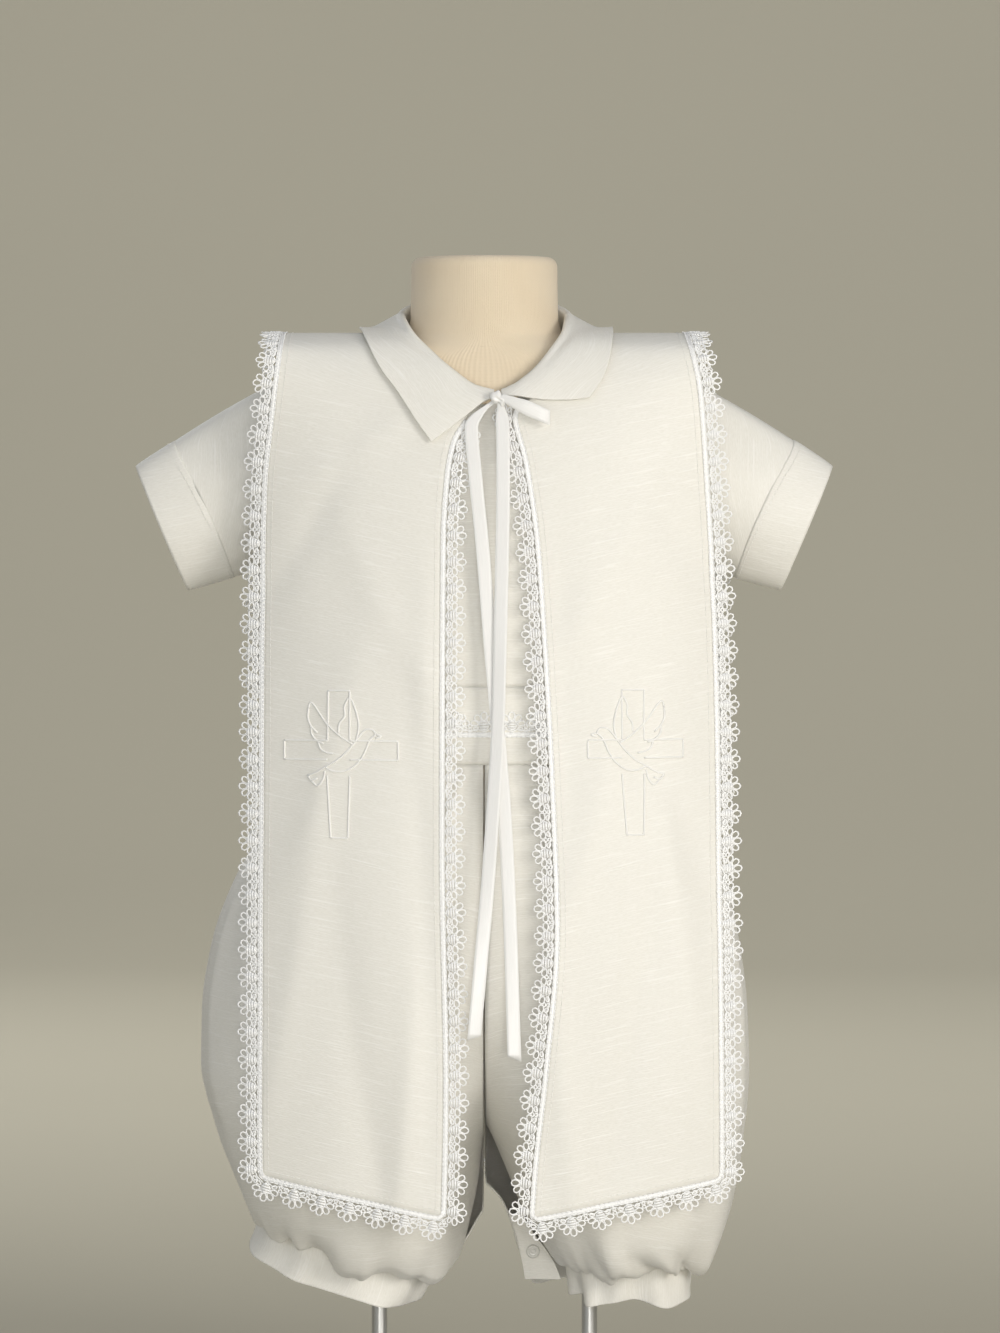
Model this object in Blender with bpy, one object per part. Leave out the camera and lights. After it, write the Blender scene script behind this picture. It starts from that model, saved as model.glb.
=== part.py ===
"""Baby romper with a lace-edged tabard, worn by a limbless torso form on a two-rod stand.

Lengths are in millimetres until a mesh is made. X is across, -Y is the front, +Z is up, and the
origin is the middle of the base plate's underside. "right" and "left" are the wearer's own.
"""
import math

import bpy
import numpy as np
from mathutils import Matrix

for old_object in list(bpy.data.objects):
    bpy.data.objects.remove(old_object, do_unlink=True)

# Driving sizes
MM = 0.001
CLOTH = 1.2  # wall of a cloth panel
BAND_WALL = 1.6  # folded bands of the sleeves and the legs
LACE = 1.0
WAIST_LACE = 0.8
RIBBON = 0.8
ARMHOLE_GAP = 1.9  # from the bodice's outer face to the sleeve
SEAM = 0.7  # gap between two panels that are sewn together
LIFT = 0.5  # gap under the waist's lace
LACE_LIFT = 0.75  # gap under the tabard's lace

WAIST_TOP = 377.5
WAIST_BOTTOM = 339.6
WAIST_SEAM = 0.004  # half the gap of the waistband's side seam, as an angle
WAIST_SCALLOPS = 16
WAIST_LACE_START = 0.12  # angle between the side seam and the lace's end
WAIST_LACE_FOOT = 353.5
WAIST_LACE_PEAK = 16.0
WAIST_LACE_VALLEY = 8.0
NECK_TOP = 596.0
ARMHOLE_CENTRE = (2.0, 494.0)  # depth, height
ARMHOLE_RADII = (30.0, 51.0)
SCALLOP = 13.7  # pitch of the lace
LACE_HEADING = 4.0  # how far the lace lies on the panel
LACE_VALLEY = 6.5  # how far it stands out between two scallops
LACE_PEAK = 13.0  # how far a scallop stands out
RIBBON_WIDTH = 6.6
BASE_SIZE = (236.0, 208.0, 8.0)
BASE_ROUNDNESS = 0.62  # 1 would make the base's outline an ellipse, 0 a rectangle
ROD_X = 54.0
# A rod's foot on the base, its shaft and its head under the form: radius, height
ROD_PROFILE = (
    (13.0, 8.3),
    (13.0, 11.5),
    (4.0, 13.5),
    (4.0, 182.0),
    (12.0, 184.5),
    (12.0, 187.7),
)
SHARP_ANGLE = math.radians(40)

# The torso form: height, half width, front depth, back depth, squareness
FORM_SECTIONS = (
    (188, 62, 42, 42, 2.3),
    (192, 70, 49, 49, 2.3),
    (202, 77, 56, 56, 2.3),
    (225, 82, 61, 60, 2.3),
    (280, 84, 65, 61, 2.3),
    (340, 83, 65, 57, 2.3),
    (400, 83, 63, 55, 2.3),
    (450, 85, 59, 55, 2.3),
    (490, 87, 54, 54, 2.3),
    (515, 87, 48, 51, 2.3),
    (530, 85, 44.5, 48, 2.3),
    (538, 80, 42, 45.5, 2.3),
    (544, 71, 40, 43, 2.3),
    (549, 57, 38.5, 41, 2.2),
    (553, 45, 37.5, 39.5, 2.1),
    (557, 40, 37, 38.5, 2.0),
    (566, 37.8, 36.5, 38, 2.0),
    (NECK_TOP, 37.3, 36.5, 38, 2.0),
)
# Heights of the form's rings of points
FORM_HEIGHTS = (188, 189.5, 193, 202, 225, 280, 360, 450, 500, 522, 534, 541, 546, 550, 554, 560, NECK_TOP)

# How far the outer face of the bodice and waistband stands off the form: height, stand-off, rise
BODY_EASE = (
    (330, 5.5, 0),
    (378, 5.5, 0),
    (400, 5.0, 0),
    (450, 3.5, 0),
    (500, 2.6, 0),
    (520, 2.3, 0.6),
    (540, 2.2, 2.4),
    (560, 2.0, 2.8),
)

# Half width of the neck opening by height, front and back
FRONT_NECKLINE = (
    (520, 0),
    (521.5, 14),
    (527, 24),
    (535.5, 33),
    (543.5, 38.5),
    (549, 41.3),
    (553.5, 43.2),
    (556, 44),
)
BACK_NECKLINE = (
    (546, 0),
    (547.5, 18),
    (550, 31),
    (553, 38.5),
    (556, 44),
)

# Heights of the bodice's rows of points above the armhole's foot
BODICE_HEIGHTS = (443, 470, 497, 512, 520, 525, 532, 539, 546, 547.8, 550.8, 553.2, 554.9, 556)

# Trouser legs by row: height, outer, front inner, back inner, centre, front depth, back depth.
# An inner value below 0 means that the section is cut at the middle of the garment.
RIGHT_LEG = (
    (339.2, 88.5, -400, -400, 0, 70.5, 62.5),
    (322, 99, -380, -380, 8, 73, 66),
    (302, 114, -342, -342, 18, 76, 70),
    (276, 129, -240, -260, 30, 78, 73),
    (245, 140, -150, -190, 41, 79.5, 76),
    (212, 145, -80, -130, 51, 80.5, 77.5),
    (182, 145.5, -27, -80, 59, 80.5, 78),
    (164, 143, -6, -50, 63, 79.5, 78),
    (152, 140, 0.6, -32, 65, 78, 77),
    (135, 136, 3, -13, 66, 73.5, 74),
    (119, 130.5, 7, 1, 67, 67, 68.5),
    (106, 125, 11, 9, 68, 59, 60),
    (98, 121, 15, 15, 69, 51, 51.5),
    (94.5, 118.5, 19, 19, 70, 45, 45.5),
    (97.5, 116, 25, 25, 70.5, 38.6, 38.6),
)
LEFT_LEG = (
    (339.2, 88.5, -400, -400, 0, 70.5, 62.5),
    (322, 97, -380, -380, 8, 73, 66),
    (302, 110, -342, -342, 18, 76, 70),
    (276, 123, -240, -260, 30, 78, 73),
    (245, 131, -150, -190, 41, 79.5, 76),
    (212, 135, -80, -130, 50, 80.5, 77.5),
    (182, 136, -27, -80, 57, 80.5, 78),
    (162, 135, -6, -50, 61, 79.5, 78),
    (150, 133.5, 2, -32, 63, 78, 77.5),
    (130, 131, 11, -10, 67, 74.5, 74.5),
    (110, 127, 19, 9, 71, 69, 70),
    (95, 121.5, 27, 14.5, 73, 62, 62),
    (86, 116, 33, 17, 74, 54, 52),
    (82.5, 111.5, 37, 19, 75, 46, 44),
    (85.5, 107.4, 41, 23, 75, 38.0, 36.4),
)
LEG_LEAN = {"right": (0.30, 0.25), "left": (0.0, 0.10)}  # rise of the leg's end per mm out and back
LEAN_HEIGHTS = (200.0, 100.0)  # the height where the lean starts, and the drop over which it grows
LEAN_POWER = 1.5
LEG_SQUARENESS = 2.2
GATHER_WAVES = 5  # on each panel, so 10 round a leg
GATHERS_FROM = 8  # the row below which the leg's end is gathered
GATHERS_OVER = 4  # rows over which the gathers grow or fade
WAIST_GATHERS = 0.02  # how far the gathers swell, as a share of the depth
END_GATHERS = 0.045
END_SWAY = 0.03
LAST_ROW_SHARE = 0.35  # how much of the gathers is left where the cuff is sewn on

# Side view of the tabard from the front hem over the shoulder to the back hem: depth, height
TABARD_PROFILE = (
    (-92, 86),
    (-92.5, 120),
    (-92.5, 160),
    (-91.5, 220),
    (-87.5, 280),
    (-80.5, 340),
    (-74, 400),
    (-68.5, 450),
    (-62.5, 490),
    (-56.5, 517),
    (-48.5, 537.5),
    (-35, 551),
    (-16, 556.5),
    (2, 557.5),
    (18, 556.5),
    (38, 552),
    (53, 540),
    (61.5, 517),
    (67, 490),
    (70.5, 450),
    (72, 400),
    (75.5, 340),
    (82, 280),
    (87.5, 220),
    (90, 160),
    (90, 120),
    (89, 86),
)
# How far a tabard panel's outer edge lies back from that side view: height, setback
TABARD_SETBACK = (
    (80, 18),
    (160, 18.5),
    (280, 24),
    (400, 27),
    (450, 25),
    (490, 20),
    (517, 13),
    (538, 5),
    (551, 0),
    (560, 0),
)
SETBACK_AT = 110.0
SETBACK_POWER = 2.4
# Edges of the tabard by height: distance from the middle
RIGHT_OUTER_EDGE = ((80, 111.5), (420, 111.5), (480, 110), (510, 107), (540, 103.5), (557.5, 101.5))
LEFT_OUTER_EDGE = ((80, 119), (250, 118), (350, 117), (430, 115), (480, 112), (527, 108.5), (557.5, 102))
RIGHT_FRONT_EDGE = (
    (80, 21.5),
    (180, 19.5),
    (300, 21.5),
    (450, 21),
    (484, 19),
    (502, 15.5),
    (515, 8.5),
    (519, 13),
    (527, 26),
    (535, 36),
    (543, 43),
    (551, 47),
    (557.5, 49),
)
LEFT_FRONT_EDGE = (
    (80, 22),
    (141, 26.5),
    (187, 31.5),
    (257, 37),
    (335, 34.5),
    (400, 31),
    (450, 27.5),
    (492, 21.5),
    (515, 16),
    (520, 20),
    (527, 28),
    (535, 37),
    (543, 43),
    (551, 47),
    (557.5, 49),
)
TABARD_BACK_NECK = ((540, 0), (542.5, 20), (548, 34), (553, 43), (557.5, 49))
FRONT_HEM = {"right": (132.5, 113.5), "left": (131, 113)}  # height at the outer and inner corners
BACK_HEM = 124.0
TOP_LACE_END = {"right": 508.0, "left": 517.0}  # where the front lace goes under the collar

# Ribbon tails: height, distance of the middle of the ribbon to the left of the garment's middle
RIGHT_TAIL = (
    (514.9, 0),
    (508, -3.8),
    (486, -2.4),
    (446, 0.5),
    (400, 3.5),
    (359, 6.8),
    (320, 9.8),
    (280, 12),
    (240, 13.8),
    (193.5, 15.4),
)
LEFT_TAIL = (
    (514.9, 8),
    (508, 11.0),
    (480, 10.6),
    (440, 9.4),
    (400, 8),
    (359, 6.8),
    (320, 4.6),
    (280, 2),
    (240, -1.6),
    (204, -5),
)

# The ribbon's loop: distance from the knot, and how far behind the loop's start
RIBBON_LOOP = (
    (1.6, -2.6),
    (10, -4.0),
    (19, -3.6),
    (23.5, -1.6),
    (24.6, 0.0),
    (23.0, 1.2),
    (16, 1.0),
    (8, 0.6),
    (1.6, 0.6),
)
LOOP_START = (11.0, -60.4, 519.6)
LOOP_ALONG = (0.98, -0.02, -0.19)
LOOP_ACROSS = (0.15, -0.25, 0.95)
KNOT_PLACE = (4.2, -60.0, 519.2)
KNOT_RADII = (8.0, 3.2, 4.2)
TAIL_STAND_OFF = {"right": 3.0, "left": 5.2}  # how far the tails hang in front of the tabard

# Sleeve end: top and bottom corners as distance from the middle and height, and half its depth
SLEEVE_END_TOP = (178.5, 489.0)
SLEEVE_END_BOTTOM = (152.0, 426.0)
SLEEVE_END_DEPTH = 19.0
SLEEVE_END_Y = 1.0
SLEEVE_SEAM = (0.72, 0.10)  # share of the sleeve's length at its middle, and what the top adds
SLEEVE_PUFF = 4.0
BAND_SEAM = 0.006  # gap between the sleeve and its band, as a share of the sleeve's length

# The collar by station, from the front end to the middle of the back: the place on the neckline
# from 0 at the front to 1 at the back, the top of the fold as across, depth, height, and then the
# free edge as across and the place on the tabard's side view, where 13 is the top of the shoulder
RIGHT_COLLAR = (
    (-0.026, 5.0, -52.0, 527.6, -26.5, 8.35),
    (0.021, -4.0, -51.5, 530.0, -34.5, 8.78),
    (0.089, -16.5, -49.5, 538.5, -43.0, 9.35),
    (0.171, -27.5, -42.5, 548.0, -53.0, 10.05),
    (0.307, -38.0, -30.0, 559.0, -60.5, 11.2),
    (0.50, -42.6, -2.0, 568.0, -64.0, 13.1),
    (0.70, -37.5, 25.0, 573.0, -59.5, 14.7),
    (0.85, -22.5, 40.0, 575.0, -36.0, 15.95),
    (1.00, 0.5, 45.5, 576.0, 0.5, 16.35),
)
LEFT_COLLAR = (
    (0.043, 8.5, -52.0, 527.6, 53.0, 9.25),
    (0.079, 15.0, -52.5, 530.5, 57.0, 9.5),
    (0.147, 24.5, -50.0, 537.5, 61.0, 9.85),
    (0.227, 34.0, -42.0, 548.5, 64.0, 10.5),
    (0.318, 41.4, -26.0, 559.8, 65.5, 11.6),
    (0.50, 43.1, -2.0, 567.5, 65.0, 13.2),
    (0.70, 38.5, 25.0, 572.5, 60.5, 14.7),
    (0.85, 24.0, 40.0, 575.0, 38.0, 15.95),
    (1.00, 0.5, 45.5, 576.0, 0.5, 16.35),
)
# The fold's section: how far out and down from the fold
COLLAR_ROLL = ((-2.4, 2.6), (-2.1, 0.9), (-0.9, 0.0), (0.9, 0.5), (2.6, 2.3))
COLLAR_STATIONS = (0, 0.8, 1.6, 2.4, 3.1, 3.7, 4.2, 4.65, 5, 5.4, 5.9, 6.5, 7.2, 8)
COLLAR_LIFT = 3.1  # how far the collar's outer face stands off the tabard
COLLAR_FOOT = (2.3, 0.8)  # how far the foot stands above the neckline and inside it
COLLAR_BOW = 1.6  # how much the fall bows up between the fold and the free edge

# Leg cuffs by row: how far below the leg's end, and how far inside it
CUFF_ROWS = ((-3.0, -0.4), (7.0, -0.2), (19.5, 0.2))
# How far the hem of a cuff flares all round, and how far it is off to the side
CUFF_FLARE = {"right": (0.4, -5.5), "left": (-0.8, 0.0)}
CUFF_INSET = 1.2
CUFF_FOLDS = 4
CUFF_FOLD_DEPTH = 1.6

# The flap in the left leg's open inseam: height, and where it starts and ends across
SNAP_FLAP = ((105, 12.2, 19.5), (95, 16, 25.4), (88, 17.8, 30), (83, 20, 34.5), (78, 20.5, 35.5))
SNAP_FLAP_DEPTH = -1.7
SNAP_PLACE = (24.2, 90.0)
# The snap's rings: radius, and how far they stand out from the flap
SNAP_RINGS = ((3.5, 0.5), (3.5, 1.3), (2.9, 1.9), (1.6, 1.9), (1.4, 1.3))

COLOURS = {
    "shantung": (0.90, 0.885, 0.83, 1.0),
    "lace": (0.95, 0.95, 0.93, 1.0),
    "ribbon": (0.94, 0.93, 0.91, 1.0),
    "form_cover": (0.88, 0.80, 0.66, 1.0),
    "stand_metal": (0.62, 0.62, 0.62, 1.0),
    "snap": (0.78, 0.77, 0.72, 1.0),
}
FINISHES = {
    "shantung": (0.55, 0.0),
    "lace": (0.8, 0.0),
    "ribbon": (0.35, 0.0),
    "form_cover": (0.85, 0.0),
    "stand_metal": (0.35, 1.0),
    "snap": (0.4, 0.0),
}


def through(rows):
    """Monotone cubic curves through a table: a function of the first column that gives the others."""
    table = np.array(sorted(rows), float)
    x, y = table[:, 0], table[:, 1:]
    step = np.diff(x)[:, None]
    slope = np.diff(y, axis=0) / step
    tangent = np.zeros_like(y)
    before, after = slope[:-1], slope[1:]
    same_way = before * after > 0
    total = np.where(same_way, before + after, 1.0)
    tangent[1:-1] = np.where(same_way, 2 * before * after / total, 0.0)
    tangent[0], tangent[-1] = slope[0], slope[-1]

    def at(value):
        value = np.clip(np.asarray(value, float), x[0], x[-1])
        k = np.clip(np.searchsorted(x, value) - 1, 0, len(x) - 2)
        s = ((value - x[k]) / (x[k + 1] - x[k]))[..., None]
        start = y[k] * (1 + 2 * s) * (1 - s) ** 2 + tangent[k] * step[k] * s * (1 - s) ** 2
        end = y[k + 1] * s * s * (3 - 2 * s) + tangent[k + 1] * step[k] * s * s * (s - 1)
        return start + end

    return at


def by_row(rows):
    """The same curves through a table, as a function of the row's number."""
    return through([(k, *row) for k, row in enumerate(rows)])


form_at = through(FORM_SECTIONS)
ease_at = through(BODY_EASE)
setback_at = through(TABARD_SETBACK)
profile_at = by_row(TABARD_PROFILE)
SHOULDER_ROW = TABARD_PROFILE.index((2, 557.5))
CHEST_ROW = TABARD_PROFILE.index((-56.5, 517))
BACK_CHEST_ROW = TABARD_PROFILE.index((61.5, 517))
BACK_END_ROW = len(TABARD_PROFILE) - 1
SHOULDER_SEAM = 0.015  # half the shoulder seam's gap, as a share of a row of the side view


def front_row(height):
    """The place on the tabard's side view that has this height, on the front."""
    stations = np.linspace(0, SHOULDER_ROW, 600)
    return np.interp(height, profile_at(stations)[:, 1], stations)


def back_row(height):
    """The place on the tabard's side view that has this height, on the back."""
    stations = np.linspace(BACK_END_ROW, SHOULDER_ROW, 600)
    return np.interp(height, profile_at(stations)[:, 1], stations)


def body_point(height, angle, extra=0.0):
    """A point on the outer face of the bodice. Angle 0 is +X, a quarter turn is the front."""
    half_width, front, back, squareness = np.moveaxis(form_at(height), -1, 0)
    ease, rise = np.moveaxis(ease_at(height), -1, 0)
    ease = ease + extra
    c, s = np.cos(angle), np.sin(angle)
    power = 2 / squareness
    x = (half_width + ease) * np.sign(c) * np.abs(c) ** power
    depth = np.where(s > 0, -(front + ease), back + ease)
    y = depth * np.abs(s) ** power
    return np.stack([x, y, np.broadcast_to(height + rise, x.shape)], -1)


def drape(x, row):
    """A point of the tabard's outer face, at a distance across and a place on its side view."""
    y, z = np.moveaxis(profile_at(row), -1, 0)
    setback = setback_at(z)[..., 0] * (np.abs(x) / SETBACK_AT) ** SETBACK_POWER
    y = np.where(row < SHOULDER_ROW, y + setback, y - setback)
    return np.stack([np.broadcast_to(x, y.shape), y, z], -1)


def material(slot):
    """The finish of one kind of cloth or part."""
    found = bpy.data.materials.get(slot)
    if found:
        return found
    made = bpy.data.materials.new(slot)
    made.use_nodes = True
    shader = made.node_tree.nodes["Principled BSDF"]
    shader.inputs["Base Color"].default_value = COLOURS[slot]
    shader.inputs["Roughness"].default_value, shader.inputs["Metallic"].default_value = FINISHES[slot]
    return made


def add_object(name, points, faces, slot):
    """An object with these points, in millimetres, and these faces."""
    mesh = bpy.data.meshes.new(name)
    mesh.from_pydata((np.array(points, float) * MM).tolist(), [], faces)
    mesh.materials.append(material(slot))
    mesh.shade_smooth()
    mesh.set_sharp_from_angle(angle=SHARP_ANGLE)
    made = bpy.data.objects.new(name, mesh)
    bpy.context.scene.collection.objects.link(made)
    return made


def grid_faces(rows, columns, ring=False, first=0):
    """Quads of a grid of points, closed round if it is a ring."""
    faces = []
    for r in range(rows - 1):
        for c in range(columns if ring else columns - 1):
            a, b = first + r * columns + c, first + r * columns + (c + 1) % columns
            faces.append((a, b, b + columns, a + columns))
    return faces


def weld(points, faces, reach=0.01):
    """Points that lie on each other become one."""
    keys, kept, number = {}, [], []
    for point in points:
        key = tuple(np.round(np.array(point) / reach).astype(int))
        if key not in keys:
            keys[key] = len(kept)
            kept.append(point)
        number.append(keys[key])
    welded = [tuple(dict.fromkeys(number[v] for v in face)) for face in faces]
    return np.array(kept), [face for face in welded if len(face) > 2]


def face_outwards(points, faces, outwards):
    """Turns the faces over if they mostly face against the given direction at their middles."""
    points = np.array(points)
    total = 0.0
    for face in faces:
        corner = points[list(face)]
        normal = np.cross(corner[1] - corner[0], corner[2] - corner[0])
        total += float(normal @ outwards(corner.mean(0)))
    return [face[::-1] for face in faces] if total < 0 else faces


def away_from(centre):
    """The direction away from a point or, where a number is None, from a line through it."""
    held = np.array([np.nan if c is None else c for c in centre], float)
    return lambda point: np.where(np.isnan(held), 0.0, point - np.nan_to_num(held))


def forwards(_):
    """The direction of the garment's front."""
    return np.array([0.0, -1.0, 0.0])


def add_wall(sheet, thickness, grow=-1.0):
    """Makes an open sheet of outer points a closed wall. Grow is -1 for a wall behind the points."""
    sheet.modifiers.new("triangles", "TRIANGULATE")
    wall = sheet.modifiers.new("wall", "SOLIDIFY")
    wall.thickness = thickness * MM
    wall.offset = grow


def cloth(name, points, faces, outwards, slot="shantung", thickness=CLOTH, grow=-1.0):
    """A cloth panel: an open sheet of outer points that is given a wall."""
    points, faces = weld(points, faces)
    made = add_object(name, points, face_outwards(points, faces, outwards), slot)
    add_wall(made, thickness, grow)
    return made


def grid_cloth(name, grid, outwards, ring=False, **options):
    """A cloth panel from rows of points."""
    rows, columns = grid.shape[:2]
    return cloth(name, grid.reshape(-1, 3), grid_faces(rows, columns, ring), outwards, **options)


def closed_loft(name, rings, slot):
    """A solid body through rings of points, with flat ends."""
    rings = np.array(rings)
    rows, columns = rings.shape[:2]
    faces = grid_faces(rows, columns, ring=True)
    faces.append(tuple(range(columns))[::-1])
    faces.append(tuple(range((rows - 1) * columns, rows * columns)))
    points = rings.reshape(-1, 3)
    volume = 0.0
    for face in faces:
        for k in range(1, len(face) - 1):
            a, b, c = points[face[0]], points[face[k]], points[face[k + 1]]
            volume += float(np.dot(a, np.cross(b, c)))
    if volume < 0:
        faces = [face[::-1] for face in faces]
    return add_object(name, points, faces, slot)


def turned(name, profile_points, centre, slot, segments=20):
    """A turned solid body: radius and height pairs round an upright axis."""
    angle = np.linspace(0, 2 * math.pi, segments, endpoint=False)
    rings = []
    for radius, height in profile_points:
        x, y = centre[0] + radius * np.cos(angle), centre[1] + radius * np.sin(angle)
        rings.append(np.stack([x, y, np.full(segments, height)], -1))
    return closed_loft(name, rings, slot)


def make_form():
    """The torso form, its two rods and the base plate."""
    angles = np.linspace(0, 2 * math.pi, 24, endpoint=False)
    rings = []
    for height in FORM_HEIGHTS:
        half_width, front, back, squareness = form_at(height)
        c, s = np.cos(angles), np.sin(angles)
        x = half_width * np.sign(c) * np.abs(c) ** (2 / squareness)
        y = np.where(s > 0, -front, back) * np.abs(s) ** (2 / squareness)
        rings.append(np.stack([x, y, np.full_like(x, height)], -1))
    closed_loft("form_torso", rings, "form_cover")

    for side, x in (("right", -ROD_X), ("left", ROD_X)):
        turned(f"stand_rod_{side}", ROD_PROFILE, (x, 0.0), "stand_metal", segments=16)

    half_x, half_y, top = BASE_SIZE[0] / 2, BASE_SIZE[1] / 2, BASE_SIZE[2]
    angles = np.linspace(0, 2 * math.pi, 48, endpoint=False)
    c, s = np.cos(angles), np.sin(angles)
    rings = []
    for inset, height in ((1.5, 0.0), (0.0, 1.5), (0.0, top - 2.0), (2.0, top)):
        x = (half_x - inset) * np.sign(c) * np.abs(c) ** BASE_ROUNDNESS
        y = (half_y - inset) * np.sign(s) * np.abs(s) ** BASE_ROUNDNESS
        rings.append(np.stack([x, y, np.full_like(x, height)], -1))
    closed_loft("stand_base", rings, "stand_metal")


def half_bodice(front, neckline, columns=6):
    """Rows of points of one half of a bodice panel, from its side to its middle or neckline."""
    neck_at = through([(height, half) for height, half in neckline])
    neck_bottom = neckline[0][0]
    heights = [WAIST_TOP + SEAM / 2, 410, *BODICE_HEIGHTS]
    rows = []
    for height in heights:
        half_width, front_depth, back_depth, squareness = form_at(height)
        ease = float(ease_at(height)[0])
        depth = (front_depth if front else back_depth) + ease
        across = (height - ARMHOLE_CENTRE[1]) / ARMHOLE_RADII[1]
        start = 0.0
        if abs(across) < 1:
            reach = ARMHOLE_RADII[0] * math.sqrt(1 - across * across)
            edge = reach - ARMHOLE_CENTRE[0] if front else reach + ARMHOLE_CENTRE[0]
            if edge > 0:
                start = math.asin(min(1.0, (edge / depth)) ** (squareness / 2))
        end = math.pi / 2
        if height > neck_bottom:
            neck = float(neck_at(height)[0])
            end = math.acos(min(1.0, neck / (half_width + ease)) ** (squareness / 2))
        seam_angle = (SEAM / 2 / depth) ** (squareness / 2)
        start = max(start, seam_angle)
        angle = np.linspace(start, max(end, start), columns)
        rows.append(body_point(np.full(columns, height), angle if front else -angle))
    return np.array(rows)


def make_bodice():
    """The front and the back of the bodice, each one panel with its armholes and neckline cut in."""
    for name, front, neckline in (
        ("romper_front", True, FRONT_NECKLINE),
        ("romper_back", False, BACK_NECKLINE),
    ):
        half = half_bodice(front, neckline)
        rows, columns = half.shape[:2]
        other = half * np.array([-1, 1, 1])
        faces = grid_faces(rows, columns) + [
            face[::-1] for face in grid_faces(rows, columns, first=rows * columns)
        ]
        points = np.concatenate([half.reshape(-1, 3), other.reshape(-1, 3)])
        cloth(name, points, faces, away_from((0.0, 0.0, 450.0)))


def make_waistband():
    """The front and the back of the waistband, and the lace sewn along the front."""
    outwards = away_from((0.0, 0.0, None))
    heights = np.linspace(WAIST_BOTTOM + SEAM / 2, WAIST_TOP - SEAM / 2, 3)
    for name, start in (("waistband_front", 0.0), ("waistband_back", math.pi)):
        angles = np.linspace(start + WAIST_SEAM, start + math.pi - WAIST_SEAM, 25)
        grid = np.array([body_point(np.full(25, h), angles) for h in heights])
        grid_cloth(name, grid, outwards)

    columns = 2 * WAIST_SCALLOPS + 1
    angles = np.linspace(WAIST_LACE_START, math.pi - WAIST_LACE_START, columns)
    up = np.where(np.arange(columns) % 2 == 1, WAIST_LACE_PEAK, WAIST_LACE_VALLEY)
    low = body_point(np.full(columns, WAIST_LACE_FOOT), angles, LIFT)
    high = body_point(WAIST_LACE_FOOT + up, angles, LIFT)
    strip = np.array([low, high])
    grid_cloth("waist_lace", strip, outwards, slot="lace", thickness=WAIST_LACE, grow=1.0)


def sleeve_points(sign, share, turn):
    """Points of a sleeve, by the share of its length and the turn round it."""
    y = ARMHOLE_CENTRE[0] - ARMHOLE_RADII[0] * np.sin(turn)
    z = ARMHOLE_CENTRE[1] + ARMHOLE_RADII[1] * np.cos(turn)
    half_width, front, back, squareness = np.moveaxis(form_at(z), -1, 0)
    ease, rise = np.moveaxis(ease_at(z), -1, 0)
    depth = np.where(y < 0, front, back) + ease
    width_left = 1 - np.minimum(0.98, np.abs(y) / depth) ** squareness
    inner = (half_width + ease) * width_left ** (1 / squareness)
    armhole = np.stack([inner + ARMHOLE_GAP, y, z + rise], -1)
    top, bottom = np.array(SLEEVE_END_TOP), np.array(SLEEVE_END_BOTTOM)
    middle, reach = (top + bottom) / 2, (top - bottom) / 2
    c = np.cos(turn)
    end_y = SLEEVE_END_Y - SLEEVE_END_DEPTH * np.sin(turn)
    end = np.stack([middle[0] + reach[0] * c, end_y, middle[1] + reach[1] * c], -1)
    share = np.asarray(share)[..., None]
    points = armhole * (1 - share) + end * share
    puff = SLEEVE_PUFF * np.sin(math.pi * share[..., 0]) * np.maximum(0, c)
    points[..., 2] += puff
    points[..., 0] *= sign
    return points


def make_sleeves():
    """Each sleeve and its turned-up band."""
    turn = np.linspace(0, 2 * math.pi, 20, endpoint=False)
    seam = SLEEVE_SEAM[0] + SLEEVE_SEAM[1] * np.cos(turn)
    for side, sign in (("right", -1), ("left", 1)):
        centre = away_from((sign * 120.0, 1.0, 475.0))
        upper = np.array([sleeve_points(sign, seam * k / 5, turn) for k in range(6)])
        grid_cloth(f"sleeve_{side}", upper, centre, ring=True)
        start = seam + BAND_SEAM
        band = np.array([sleeve_points(sign, start + (1 - start) * k / 2, turn) for k in range(3)])
        centre = away_from((sign * 152.0, 1.0, 462.0))
        grid_cloth(f"sleeve_band_{side}", band, centre, ring=True, thickness=BAND_WALL)


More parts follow.
